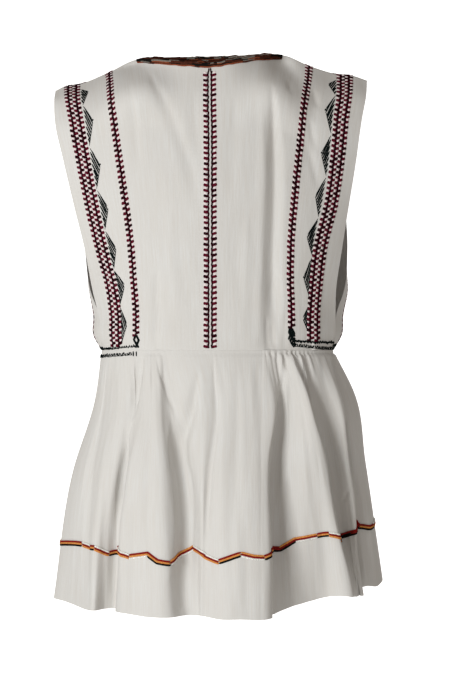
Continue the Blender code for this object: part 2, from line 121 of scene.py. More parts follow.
# Creases: half width on the left and right, depth (less than 0 stands out), and the line of x, z down them
FRONT_CREASES = (
    ("fold_left", 10, 8, 2.3, ((-95, -30), (-62, -95), (-35, -165), (-20, -225))),
    ("neck_right", 11, 8, 9.5, ((92, -60), (98, -160), (97, -260), (91, -440))),
    ("neck_right_edge", 10, 5, -1.6, ((76, -70), (80, -160), (78, -260), (72, -430))),
    ("waist_left", 7, 7, 2.0, ((-79, -330), (-84, -440))),
    ("strip_right", 12, 12, 2.5, ((158, -60), (142, -190))),
    ("waist_right", 7, 7, 3.0, ((98, -330), (104, -440))),
    ("fine_left", 3, 5, 1.2, ((-75, -375), (-82, -430), (-81, -450))),
    ("shoulder_1", 4, 5, 1.4, ((117, -44), (120, -62))),
    ("shoulder_2", 4, 5, 1.6, ((156, -58), (162, -84))),
    ("shoulder_3", 4, 5, 1.6, ((150, -106), (156, -142))),
    ("shoulder_4", 5, 7, 1.8, ((149, -150), (162, -206))),
    ("shoulder_left", 7, 5, 1.5, ((-122, -50), (-112, -120), (-108, -180))),
    ("centre_left", 10, 9, 1.3, ((-25, -60), (-18, -200))),
    ("centre_right", 11, 10, 1.2, ((38, -70), (30, -230))),
    ("low_left", 9, 9, -1.2, ((-60, -240), (-52, -400))),
    ("low_right", 8, 8, -1.3, ((55, -250), (52, -420))),
    ("ease_1", 3, 4, 1.5, ((84, -400), (86, -450))),
    ("ease_2", 3, 4, 1.3, ((93, -412), (96, -450))),
    ("ease_3", 3, 4, 1.3, ((113, -390), (111, -450))),
    ("strip_left", 7, 7, -1.0, ((-150, -300), (-146, -400))),
)
BACK_CREASES = (
    ("fold_left", 11, 10, 2.8, ((-92, -20), (-60, -110), (-44, -230))),
    ("fold_right", 11, 12, 3.0, ((90, -30), (70, -120), (76, -300))),
    ("blades", 14, 14, -2.0, ((-20, -60), (8, -300))),
    ("waist_left", 9, 8, 2.6, ((-88, -260), (-96, -440))),
    ("waist_middle", 8, 8, 2.2, ((40, -300), (34, -445))),
    ("waist_soft", 7, 7, -1.8, ((-40, -330), (-34, -445))),
    ("waist_right", 8, 8, 2.2, ((110, -330), (104, -445))),
)
HATCH_GAP = 2.75  # from one thread to the next
FLANK_SHARE = 0.35  # of a crease's depth where the skirt's cloth faces aside
SKIRT_CREASES = (
    ("cut_1_top", 9, 4.0, 5.0, ((-102, -462), (-106, -490), (-111, -525), (-114, -545))),
    ("cut_1", 10, 4.0, 8.0, ((-122, -590), (-127, -625), (-132, -660), (-140, -722), (-146, -840))),
    ("cut_1_edge", 3, 9, -1.8, (
        (-100, -480), (-107, -528), (-116, -603),
        (-127, -660), (-135, -722), (-141, -840)
    )),
    ("left_line", 3, 6, 2.0, (
        (-82, -458), (-76, -485), (-68, -504),
        (-63, -523), (-54, -542), (-49, -560)
    )),
    ("hollow", 13, 10, 9.0, (
        (-18, -490), (-28, -545), (-42, -585),
        (-42, -618), (-36, -646), (-33, -700), (-40, -830)
    )),
    ("hollow_edge", 10, 4, -2.2, ((-62, -560), (-64, -600), (-58, -650), (-54, -700), (-58, -780))),
    ("centre_line", 5, 2.5, 2.0, (
        (5, -462), (6, -496), (10, -547),
        (7, -585), (1, -642), (-2, -675), (-4, -725)
    )),
    ("soft_1", 8, 10, 2.2, ((-155, -470), (-164, -528), (-173, -576), (-181, -638), (-182, -720))),
    ("soft_2", 9, 9, 2.0, ((-94, -500), (-89, -585), (-92, -675), (-96, -760))),
    ("soft_3", 10, 8, 1.6, ((40, -480), (40, -556), (36, -627), (32, -720), (30, -820))),
    ("soft_4", 9, 9, -1.6, ((62, -480), (64, -570), (60, -700))),
    ("cut_2_edge", 12, 3, -2.2, (
        (103, -462), (100, -496), (97, -528), (92, -570),
        (85, -613), (84, -675), (90, -745), (92, -841)
    )),
    ("cut_2", 3.8, 13, 8.0, (
        (110, -462), (107, -496), (104, -528), (99, -570),
        (92, -613), (91, -675), (97, -745), (98, -841)
    )),
    ("wedge_left", 6, 5, 1.8, ((116, -458), (113, -500), (110, -560), (108, -620))),
    ("cut_3_edge", 12, 3, -3.4, (
        (117, -455), (130, -484), (143, -518), (156, -565),
        (170, -613), (178, -665), (190, -725), (217, -826)
    )),
    ("cut_3", 3.8, 14, 10.5, (
        (124, -456), (137, -484), (150, -518), (163, -565),
        (177, -613), (185, -665), (197, -725), (224, -826)
    )),
    ("panel_1", 9, 9, 2.0, ((168, -462), (175, -520), (186, -600), (196, -680))),
    ("panel_2", 3, 4, 1.8, ((203, -688), (209, -672), (216, -660))),
    ("cut_4_edge", 7, 2.5, -2.4, (
        (180, -456), (186, -491), (199, -533),
        (204, -574), (212, -637), (221, -684), (223, -740)
    )),
    ("cut_4", 3.4, 6, 8.0, (
        (185, -456), (191, -491), (204, -533), (209, -574),
        (217, -637), (226, -684), (229, -800), (232, -880)
    )),
    ("wedge_soft", 5, 6, 1.6, ((116, -640), (112, -676), (113, -710))),
    ("wedge_low", 3, 4, 1.6, ((114, -751), (119, -797), (123, -835))),
    ("wedge_high", 6, 6, -1.2, ((130, -520), (140, -600), (146, -700))),
)
SKIRT_BACK_CREASES = (
    ("back_1", 4, 10, 4.0, ((150, -458), (166, -540), (180, -640), (190, -760))),
    ("back_2", 9, 4, 3.6, ((98, -458), (108, -540), (116, -660), (118, -800))),
    ("back_3", 5, 10, 3.0, ((40, -458), (44, -560), (50, -700))),
    ("back_4", 9, 5, 3.4, ((-30, -458), (-34, -560), (-28, -720))),
    ("back_5", 4, 11, 4.2, ((-84, -458), (-96, -540), (-108, -660), (-112, -800))),
    ("back_6", 9, 4, 3.6, ((-130, -458), (-146, -560), (-160, -680), (-170, -780))),
    ("back_soft_1", 9, 9, -1.8, ((10, -480), (8, -700))),
    ("back_soft_2", 9, 9, -1.8, ((-66, -480), (-72, -700))),
    ("back_soft_3", 9, 9, -1.8, ((76, -480), (84, -700))),
)

# How much of the gathers there is round the waist: degrees and share
GATHERED = ((-66, 0.2), (20, 0.2), (22, 1), (42, 1), (52, 0.1), (90, 0.1), (104, 1), (262, 1))

# Folds in front: waist degrees, upper x y, middle x y, hem x y z, braid height
FRONT_FOLDS = (
    ("left_side", -83, -181, 2, -215, 8, -247, 28, -844, 87),
    ("left_soft", -71, -172, -32, -198, -34, -222, -12, -844, 89),
    ("left_valley", -64, -160, -50, -181, -53, -193, -58, -847, 98),
    ("left_ridge", -57, -147, -69, -166, -77, -177, -82, -846, 94),
    ("left_dip", -51, -132, -82, -148, -86, -161, -64, -846, 87),
    ("cut_1_under", -45, -118, -88, -131, -84, -136, -66, -846, 85),
    ("cut_1_edge", -41, -111, -90, -130, -99, -143, -94, -845, 95),
    ("cut_1_crown", -37, -99, -103, -115, -119, -120, -126, -844, 86),
    ("seam_left", -32, -88, -111, -91, -133, -91, -147, -845, 92),
    ("left_crown", -28, -75, -113, -68, -138, -60, -153, -845, 80),
    ("hollow_1", -25, -60, -104, -45, -114, -34, -130, -845, 95),
    ("left_mid", -20, -39, -113, -27, -124, -18, -133, -845, 94),
    ("centre_left", -11, -11, -121, -12, -139, -13, -142, -844, 92),
    ("crease", -4, 8, -120, -1, -139, -4, -146, -845, 89),
    ("centre_crown", 2, 24, -124, 18, -151, 18, -165, -846, 86),
    ("centre_right", 11, 49, -125, 46, -154, 45, -170, -845, 96),
    ("seam_right", 21, 76, -122, 74, -150, 75, -168, -846, 91),
    ("cut_2_edge", 23, 94, -118, 87, -143, 91, -153, -845, 98),
    ("cut_2_under", 26, 101, -106, 91, -119, 90, -127, -845, 97),
    ("cut_2_floor", 28, 106, -101, 99, -104, 101, -110, -845, 95),
    ("right_rise", 31, 118, -110, 116, -109, 123, -92, -838, 98),
    ("right_panel", 34, 131, -118, 137, -118, 150, -80, -832, 99),
    ("right_swell", 37, 143, -121, 158, -119, 178, -74, -826, 95),
    ("cut_3_crown", 39, 149, -119, 171, -113, 201, -88, -823, 88),
    ("cut_3_edge", 42, 153, -112, 177, -103, 216, -82, -825, 88),
    ("cut_3_under", 45, 156, -99, 175, -82, 211, -54, -829, 92),
    ("recess_floor", 47, 164, -88, 183, -64, 216, -38, -832, 97),
    ("recess_face", 53, 177, -84, 199, -60, 226, -42, -831, 98),
    ("cut_4_edge", 61, 194, -78, 211, -58, 236, -38, -830, 100),
    ("cut_4_under", 66, 199, -64, 215, -40, 233, -14, -825, 108),
    ("strip_left", 70, 204, -56, 221, -32, 243, -6, -820, 93),
    ("strip_right", 75, 214, -40, 234, -17, 259, 2, -821, 96),
    ("right_side", 90, 224, -12, 241, 8, 270, 28, -815, 92),
)

# Folds behind: degrees, how far out at the hem, hem height, braid height
BACK_FOLDS = (
    ("side_right", 104, 2, -818, 98),
    ("back_ridge_1", 115, 12, -824, 86),
    ("back_valley_1", 125, -13, -829, 99),
    ("back_ridge_2", 135, 14, -834, 87),
    ("back_valley_2", 145, -10, -839, 98),
    ("seam_back_right", 154, 4, -842, 90),
    ("back_ridge_3", 164, 12, -845, 86),
    ("back_valley_3", 174, -9, -846, 98),
    ("back_ridge_4", 185, 10, -847, 87),
    ("back_valley_4", 196, -11, -848, 98),
    ("seam_back_left", 206, 3, -848, 91),
    ("back_ridge_5", 215, 13, -848, 86),
    ("back_valley_5", 225, -12, -848, 99),
    ("back_ridge_6", 236, 13, -847, 87),
    ("back_valley_6", 247, -9, -846, 98),
    ("side_left", 257, 3, -845, 90),
)
BACK_RINGS = (
    ("upper", 21, 203, 0, 112, 0.25),
    ("middle", 13, 229, 8, 122, 0.6),
    ("hem", 12, 259, 20, 132, 1.0),
)
FOLD_LEVELS = (0.0, 0.2, 0.48, 1.0)

# Gathers: from, to in degrees, how many, crowding
GATHERS = (
    ("front_left", -66, -23, 6, 1.0),
    ("front_right", 21, 90, 11, 0.8),
    ("back_right", 100, 152, 8, 1.0),
    ("back_left", 208, 262, 8, 1.0),
)
GATHER_DEPTH = 0.15

# The needlework

# Heights of the notches between the triangles beside each wide band, from the shoulder down
NOTCHES_LEFT = (-52, -82, -146, -211, -272, -331, -385, -445)
NOTCHES_RIGHT = (-36, -65, -127, -191, -253, -311, -379, -432)
TRIANGLE_REACH = 13.5
HATCH_LEAN = 0.3  # how far a hatch thread goes out for each mm down

# The loop of stitches under each narrow ladder, the last one only on the right: across, up, reach, rise
LOOP = (
    (-2.4, 20.0, -4.0, -8.0),
    (2.4, 20.0, 4.0, -8.0),
    (-2.6, 13.5, 4.2, -8.0),
    (2.6, 13.5, -4.2, -8.0),
    (-1.2, 7.5, -3.2, -6.0),
    (1.2, 7.5, 3.2, -6.0),
    (0.0, 17.0, 0.4, 6.0),
)
# The tuft over the right one, in the same way
TUFT = (
    (-3.6, 30.0, 2.0, 8.0),
    (3.4, 25.0, -2.5, 8.0),
    (-4.2, 20.0, 3.5, 8.0),
    (4.0, 16.0, 0.8, 8.0),
    (-2.6, 12.0, -3.0, 8.0),
    (3.0, 8.0, 3.0, 8.0),
    (0.2, 10.0, 0.5, 8.0),
)

# Yarns of the neck binding: depth under the edge, height over the cloth's middle, half width, colours that
# its stretches draw from, and the seed of the draws
BINDING_ROWS = (
    (5.4, -0.9, 5.9, ("brown",) * 4, 0),
    (1.0, 1.2, 1.35, ("grey", "brown", "grey", "black"), 3),
    (3.1, 1.2, 1.35, ("black", "brown", "brown", "rust"), 4),
    (5.2, 1.2, 1.35, ("brown", "black", "grey", "brown"), 5),
    (7.3, 1.1, 1.4, ("rust", "brown", "rust", "rust"), 1),
    (-0.5, 0.0, 1.35, ("grey", "grey", "black", "brown"), 6),
    (1.0, -1.4, 1.3, ("grey", "brown", "grey", "black"), 7),
    (3.2, -1.4, 1.3, ("brown", "rust", "black", "brown"), 8),
    (5.4, -1.4, 1.3, ("black", "brown", "grey", "brown"), 9),
    (7.6, -1.4, 1.3, ("brown", "black", "rust", "brown"), 10),
    (9.8, -1.4, 1.3, ("black", "brown", "brown", "black"), 11),
)

# Threads: their setting, name, roughness, and how much of the colour is left in the painted shade between the
# strands
THREADS = (
    ("maroon", "maroon silk thread", 0.7, 0.6),
    ("black", "black maroon silk thread", 0.7, 0.6),
    ("white", "white cotton thread", 0.85, 0.9),
    ("green", "green black silk thread", 0.7, 0.6),
)
# Wool yarns: number, sRGB colour and where they are used
WOOLS = {
    "red": (0, "#8C2420", "Braid"),
    "orange": (1, "#DE9350", "Braid"),
    "black": (2, "#1B1A18", "Braid and neck binding"),
    "white": (3, "#F4F1EB", "Braid"),
    "brown": (4, "#4E2A1F", "Neck binding"),
    "grey": (5, "#7F7A72", "Neck binding"),
    "rust": (6, "#8A4A32", "Neck binding"),
}

# The braid in front: place among the folds, height over the hem, and from there on its three yarns
BRAID_FRONT = (
    (0.0, 88, "red", "orange", "black"),
    (1.7, 97, "white", "red", "orange"),
    (2.5, 95, "red", "orange", "black"),
    (2.95, 95, "white", "red", "orange"),
    (4.1, 85, "red", "orange", "black"),
    (5.0, 87, "red", "orange", "black"),
    (6.0, 96, "white", "red", "orange"),
    (6.5, 88, "white", "red", "orange"),
    (7.0, 85, "red", "orange", "white"),
    (7.96, 92, "red", "orange", "black"),
    (8.5, 82, "red", "orange", "black"),
    (9.1, 79, "orange", "red", "white"),
    (10.0, 91, "orange", "red", "white"),
    (10.56, 99, "white", "red", "orange"),
    (12.5, 91, "white", "red", "orange"),
    (13.8, 84, "red", "orange", "black"),
    (15.0, 95, "orange", "red", "white"),
    (15.6, 91, "orange", "red", "white"),
    (16.24, 90, "red", "orange", "black"),
    (17.1, 94, "red", "orange", "black"),
    (18.9, 96, "red", "red", "black"),
    (19.4, 92, "orange", "red", "black"),
    (20.34, 99, "orange", "red", "white"),
    (21.6, 98, "red", "orange", "black"),
    (22.47, 97, "white", "red", "orange"),
    (24.0, 88, "red", "black", "black"),
    (25.3, 89, "red", "black", "black"),
    (27.1, 98, "red", "red", "black"),
    (28.2, 102, "red", "red", "black"),
    (29.4, 107, "red", "red", "black"),
    (30.0, 94, "red", "orange", "black"),
    (31.4, 92, "white", "red", "orange"),
)
# Its yarns behind, by turns
BRAID_BACK = (("white", "red", "orange"), ("red", "orange", "black"), ("orange", "red", "white"))
BRAID_ROW = 2.7  # from one yarn of the braid to the next
SKIRT_SEAMS = ("seam_left", "seam_right", "seam_back_right", "seam_back_left")
YARN_SIDES = 7  # corners of a yarn's round
YARN_BEND = 3.0  # how far under a strand of the binding the cloth's direction is read
MAROON, DARK, WHITE, GREEN = range(4)  # the threads, as the stitches number them
PER_FOLD = 16  # columns of the skirt's net from fold to fold
UV_ROW = 60  # the row of the skirt's net that gives the width of its weave

# The studio, in metres
PICTURE_MIDDLE = (0.028, -0.443)  # where the camera looks, across and up
PICTURE_HALF = 0.5366  # half the picture's height at the garment
FLOOR = -1.8
BEHIND = 3.3  # the backdrop stands behind every view's camera
LAMP = (-1.9, -3.1, -0.3)
LAMP_AIM = (0.03, -0.1, -0.44)


def column(table, k):
    """One column of a table, as an array."""
    return np.array([row[k] for row in table], float)


def number(table, name):
    """Which row of a table has the name."""
    return [row[0] for row in table].index(name)


def place(name):
    """Where a line lies across the bodice: its own mm from the middle at the chest."""
    return column(LINES, CHEST)[number(LINES, name)]


def unit(vectors):
    """The vectors, each divided by its length."""
    return vectors / np.maximum(np.linalg.norm(vectors, axis=-1, keepdims=True), 1e-9)


def run_along(points):
    """The distance from the first point along the points to each of them."""
    return np.concatenate([[0], np.cumsum(np.linalg.norm(np.diff(points, axis=0), axis=1))])


def slopes(knots, values):
    """The slope at each knot of the parabola through it and its two neighbours."""
    gap = np.diff(knots).reshape((-1,) + (1,) * (values.ndim - 1))
    rise = np.diff(values, axis=0) / gap
    inner = (rise[:-1] * gap[1:] + rise[1:] * gap[:-1]) / (gap[1:] + gap[:-1])
    return np.concatenate([rise[:1], inner, rise[-1:]])


def through(knots, values, at):
    """Cubic pieces through the values at the knots, with the slopes above, read at the places given."""
    knots, values, at = np.asarray(knots, float), np.asarray(values, float), np.asarray(at, float)
    m = slopes(knots, values)
    i = np.clip(np.searchsorted(knots, at, side="right") - 1, 0, len(knots) - 2)
    width = knots[i + 1] - knots[i]
    shape = (-1,) + (1,) * (values.ndim - 1)
    t = ((at - knots[i]) / width).reshape(shape)
    width = width.reshape(shape)
    a, b = values[i], values[i + 1]
    return (
        a * (1 + 2 * t) * (1 - t) ** 2
        + b * t**2 * (3 - 2 * t)
        + m[i] * width * t * (1 - t) ** 2
        - m[i + 1] * width * t**2 * (1 - t)
    )


def section_depth(x, middle, half, depth, roundness):
    """How far forward a superellipse section lies at x: depth times (1 - t^n)^(1/n)."""
    t = np.clip(np.abs((x - middle) / half), 0, 1)
    return depth * (1 - t**roundness) ** (1 / roundness)


def ring_point(degrees, middle, half, front, back, roundness):
    """A point of a superellipse ring, at degrees from the front round to the right."""
    a = np.radians(np.asarray(degrees, float))
    across, along = np.sin(a), np.cos(a)
    x = middle + half * np.sign(across) * np.abs(across) ** (2 / roundness)
    depth = np.where(along > 0, front, back)
    y = -depth * np.sign(along) * np.abs(along) ** (2 / roundness)
    return np.stack([x, y], axis=-1)


def crease_heights(behind):
    """The height of the shoulder crease on each line."""
    if behind:
        return column(TOPS, 7) - 0.7 * column(TOPS, 5)
    return column(TOPS, 3) - column(TOPS, 5)


def front_sections():
    """Every line's point at every section of the front, then at the crease and at the top."""
    crease, rows = crease_heights(False), []
    for k, (_, share, middle, half, depth, _, _, roundness, _, _) in enumerate(SECTIONS):
        x = column(LINES, max(k, 2) if k else 1)
        y = -section_depth(x, middle, half, depth, roundness)
        rows.append(np.stack([x, y, WAIST_Z + share * (crease - WAIST_Z)], axis=1))
    top = np.stack([column(TOPS, k) for k in (1, 2, 3)], axis=1)
    fold = top.copy()
    fold[:, 0] += 0.4 * (rows[-1][:, 0] - top[:, 0])
    fold[:, 1] -= column(TOPS, 4)
    fold[:, 2] = crease
    return np.array(rows + [fold, top])


def back_sections(front):
    """The same lines down the back, the strips at their own widths from the armhole edges."""
    crease, rows = crease_heights(True), []
    strip = np.array([0, OUTER_PLAIN, OUTER_PLAIN + WIDE_BAND, OUTER_PLAIN + WIDE_BAND + STRIP_PLAIN])
    for k, (_, share, middle, _, depth, half, behind, roundness, left, right) in enumerate(SECTIONS):
        degrees = np.linspace(270 - left, 90 + right, 400)
        points = ring_point(degrees, middle, half, depth, behind, roundness)
        run = run_along(points)
        x = front[k][:, 0]
        body = (x[3:12] - x[3]) / (x[11] - x[3])
        width = run[-1] - 2 * strip[3]
        at = np.concatenate([strip[:3], strip[3] + body * width, run[-1] - strip[2::-1]])
        xy = [np.interp(at, run, points[:, c]) for c in (0, 1)]
        rows.append(np.stack(xy + [WAIST_Z + share * (crease - WAIST_Z)], axis=1))
    top = np.stack([column(TOPS, k) for k in (1, 6, 7)], axis=1)
    fold = top.copy()
    fold[:, 0] += 0.4 * (rows[-1][:, 0] - top[:, 0])
    fold[:, 1] += 1.2 * column(TOPS, 4)
    fold[:, 2] = crease
    return np.array(rows + [fold, top])


def creased(points, normals, facing, lines, part=1.0):
    """Presses creases into a net, from in front if facing is 1 and from behind if it is -1, times the part
    of each column. Across each line the cloth goes in by depth times exp(-(distance / half width)^2). Down
    it the crease widens from 0.45 of that width and is shallower at both ends. Given parts, as on the skirt,
    it also reaches the folds' flanks, which face aside."""
    move = np.zeros(points.shape[:2])
    seen = np.clip(-3 * facing * normals[..., 1], 0.0 if np.isscalar(part) else FLANK_SHARE, 1)
    xz = points[..., [0, 2]]
    for _, left, right, depth, line in lines:
        line = through(np.arange(len(line)), line, np.linspace(0, len(line) - 1, 6 * len(line)))
        run = run_along(line)
        profile = np.zeros(points.shape[:2])
        for k in range(len(line) - 1):
            way = line[k + 1] - line[k]
            t = np.clip(((xz - line[k]) @ way) / (way @ way), 0, 1)
            off = xz - line[k] - t[..., None] * way
            share = (run[k] + t * (run[k + 1] - run[k])) / run[-1]
            width = np.where(way[0] * off[..., 1] - way[1] * off[..., 0] > 0, right, left)
            width = width * np.interp(share, (0, 0.3, 1), (0.45, 1, 1.1))
            tall = np.interp(share, (0, 0.1, 0.25, 0.8, 1), (0.1, 0.6, 1, 1, 0.4))
            profile = np.maximum(profile, tall * np.exp(-((np.linalg.norm(off, axis=-1) / width) ** 2)))
        move += depth * profile
    return points - normals * (move * seen * part)[..., None]


def meet(front, back, hole):
    """Brings the two halves to one line along the shoulder folds, on both sides of the neck hole. The shift
    fades out over the facet."""
    parts = np.linspace(0, 1, 14) ** 1.5
    for columns in (slice(0, hole[0] + 1), slice(hole[1], None)):
        top = (front[-1, columns] + back[-1, columns]) / 2
        for half in (front, back):
            half[-14:, columns] += parts[:, None, None] * (top - half[-1, columns])[None]


def ripples(u, v, seed, across, along, count=9):
    """Soft uneven waves: a sum of sines whose lengths across and along are drawn from the ranges, in mm."""
    rng = np.random.default_rng(seed)
    out = np.zeros(np.broadcast(u, v).shape)
    for _ in range(count):
        a, b = rng.uniform(*across), rng.uniform(*along) * rng.choice((-1, 1))
        out = out + rng.uniform(0.5, 1.0) * np.sin(2 * math.pi * (u / a + v / b) + rng.uniform(0, 6.28))
    return out / math.sqrt(count)


class Cloth:
    """A net of points in rows v and columns u, with unit normals that face out of the garment. A place
    between the points is read by bilinear interpolation, and lifted along the normal."""

    def __init__(self, points, v, u, side):
        self.points, self.v, self.u, self.side = points, np.asarray(v, float), np.asarray(u, float), side
        self.v_down = points[-1, 0, 2] < points[0, 0, 2]
        self.normals = self.faced(points, side)

    @staticmethod
    def faced(points, side):
        """Unit normals of a net of points, on the side given."""
        return unit(np.cross(np.gradient(points, axis=1), np.gradient(points, axis=0)) * side)

    def at(self, u, v, lift=0.0):
        """The point at a place, lifted by mm."""
        u, v = np.clip(u, self.u[0], self.u[-1]), np.clip(v, self.v[0], self.v[-1])
        i = np.clip(np.searchsorted(self.v, v, side="right") - 1, 0, len(self.v) - 2)
        j = np.clip(np.searchsorted(self.u, u, side="right") - 1, 0, len(self.u) - 2)
        s = ((v - self.v[i]) / (self.v[i + 1] - self.v[i]))[..., None]
        t = ((u - self.u[j]) / (self.u[j + 1] - self.u[j]))[..., None]

        def mix(a):
            low = a[i, j] * (1 - t) + a[i, j + 1] * t
            return low * (1 - s) + (a[i + 1, j] * (1 - t) + a[i + 1, j + 1] * t) * s

        return mix(self.points) + unit(mix(self.normals)) * np.asarray(lift)[..., None]


class Band:
    """A guide down a cloth at one place across it. A point is given in mm across and in mm up from the
    waist. At the waist, mm across shrink to the taper; from there they grow back to full at the yoke. A table
    of u, by rows up the cloth and columns across it, is read by bilinear interpolation."""

    rows, middle = 300, 32
    reach = 16.0  # mm to each side that the table covers

    def __init__(self, cloth, centre, taper=1.0):
        self.cloth = cloth
        self.v = np.linspace(cloth.v[0], cloth.v[-1], self.rows)
        columns = np.linspace(-2 * self.reach, 2 * self.reach, 2 * self.middle + 1)
        u = np.clip(centre + columns, cloth.u[0], cloth.u[-1])
        net = cloth.at(u[None], self.v[:, None])
        self.line = net[:, self.middle]
        self.run = run_along(self.line)
        self.length = self.run[-1]
        across = np.linalg.norm(np.diff(net, axis=1, prepend=net[:, :1]), axis=2).cumsum(axis=1)
        across -= across[:, self.middle:self.middle + 1]
        shrink = np.interp(self.run / self.length, (0, 0.8), (taper, 1.0))
        marks = columns / 2
        self.u = np.array([np.interp(marks * s, row, u) for s, row in zip(shrink, across)])

    def steps(self, low, high, pitch):
        """Places up the guide a pitch apart, and further apart where the cloth leans back, with the gaps."""
        even = 0.45 * self.run + 0.55 * (self.line[:, 2] - self.line[0, 2])
        ends = np.interp((low, high), self.run, even)
        at = np.interp(np.arange(*ends, pitch), even, self.run)
        return at, np.gradient(at)

    def height(self, z):
        """How far up the guide the cloth is at a height."""
        return np.interp(z, self.line[:, 2], self.run)

    def point(self, across, along, lift):
        """A place: mm across from the guide and mm up it."""
        across, along = np.broadcast_arrays(across, along)
        i = np.clip(np.interp(along, self.run, np.arange(self.rows)), 0, self.rows - 1.001)
        j = np.clip((across / self.reach + 1) * self.middle, 0, 2 * self.middle - 0.001)
        r, c = i.astype(int), j.astype(int)
        s, t = i - r, j - c
        u = (self.u[r, c] * (1 - t) + self.u[r, c + 1] * t) * (1 - s)
        u += (self.u[r + 1, c] * (1 - t) + self.u[r + 1, c + 1] * t) * s
        return self.cloth.at(u, np.interp(along, self.run, self.v), lift)


@functools.lru_cache(maxsize=None)
def bodice():
    """Both halves of the bodice as dense nets: cubic pieces through the sections up the cloth and through
    the lines across it, with creases, a firmer edge on the shoulder crease and soft ripples."""
    across = column(LINES, CHEST)
    steps = (6, 11, 16, 18, 10, 10, 18, 18, 10, 10, 18, 16, 11, 6)
    u = np.concatenate([np.linspace(a, b, n, endpoint=False) for a, b, n in zip(across, across[1:], steps)])
    u = np.append(u, across[-1])
    v = np.linspace(0.008, 0.9, 108, endpoint=False)
    v = np.concatenate([[0, 0.004], v, np.linspace(0.9, 1 + FACET, 30)])
    levels = np.append(column(SECTIONS, 1), (1.0, 1.0 + FACET))
    ends = [int(np.argmin(np.abs(u - place(name)))) for name in ("neck_left", "neck_right")]
    front = front_sections()
    halves = []
    for sections, creases, way in (
        (front, FRONT_CREASES, 1), (back_sections(front), BACK_CREASES, -1)
    ):
        grid = through(across, through(levels, sections, v).swapaxes(0, 1), u).swapaxes(0, 1)
        halves.append(creased(grid, Cloth.faced(grid, way), way, creases))
    meet(*halves, ends)
    cloths = []
    for grid, way in zip(halves, (1, -1)):
        soft = 0.34 * ripples(u[None], BODICE_LENGTH * v[:, None], 5 + way, (24, 70), (90, 260))
        soft *= (np.clip(v / 0.03, 0, 1) * np.clip((1 + FACET - v) / 0.05, 0, 1))[:, None]
        soft -= 0.5 * np.clip(1 - v / 0.004, 0, 1)[:, None]
        for name in ("narrow_left", "narrow_right"):
            soft -= 0.3 * np.exp(-(((u - place(name)) / 1.6) ** 2))[None]
        grid = grid + Cloth.faced(grid, way) * soft[..., None]
        cloths.append(Cloth(grid, v, u, way))
    return cloths[0], cloths[1], ends


def skirt_columns():
    """Each fold's place on the waist, and its points a fifth and half of the way down and at the hem."""
    waist = np.concatenate([column(FRONT_FOLDS, 1), column(BACK_FOLDS, 1)])
    upper, middle, hem = (
        np.stack([column(FRONT_FOLDS, k), column(FRONT_FOLDS, k + 1)], axis=1) for k in (2, 4, 6)
    )
    rings = []
    turn = np.radians(column(BACK_FOLDS, 1))
    for (_, centre, half, start, depth, part), front in zip(BACK_RINGS, (upper, middle, hem)):
        swell = column(BACK_FOLDS, 2) * part
        x = centre + (half + swell) * np.sin(turn)
        y = start - (depth + swell) * np.cos(turn)
        rings.append(np.concatenate([front, np.stack([x, y], axis=1)]))
    hem_z = np.concatenate([column(FRONT_FOLDS, 8), column(BACK_FOLDS, 3)])
    braid = np.concatenate([column(FRONT_FOLDS, 9), column(BACK_FOLDS, 4)])
    return waist, rings, hem_z, braid


def round_ring(values, places, turn=0.0):
    """Cubic pieces through values at the folds, numbered from 0, closed all the way round."""
    values = np.asarray(values, float)
    values = np.concatenate([values[-2:] - turn, values, values[:3] + turn])
    return through(np.arange(len(values)), values, places + 2)


def gather(degrees):
    """How far the gathers stand out under the waist seam: a sine whose height is a share of its length."""
    out = np.zeros(len(degrees))
    for _, start, end, count, crowd in GATHERS:
        share = np.clip((degrees - start) / (end - start), 0, 1)
        phase = count * share**crowd
        width = 2.55 * (end - start) / count / np.maximum(crowd * np.maximum(share, 0.05) ** (crowd - 1), 0.3)
        window = np.clip(np.minimum(share, 1 - share) * count, 0, 1)
        out += GATHER_DEPTH * width * window * np.sin(2 * math.pi * phase)
    seams = [row[1] for row in FRONT_FOLDS + BACK_FOLDS if row[0].startswith("seam")]
    apart = np.abs(degrees[:, None] - np.array(seams)).min(axis=1)
    return out * np.clip(apart - 1.5, 0, 1)


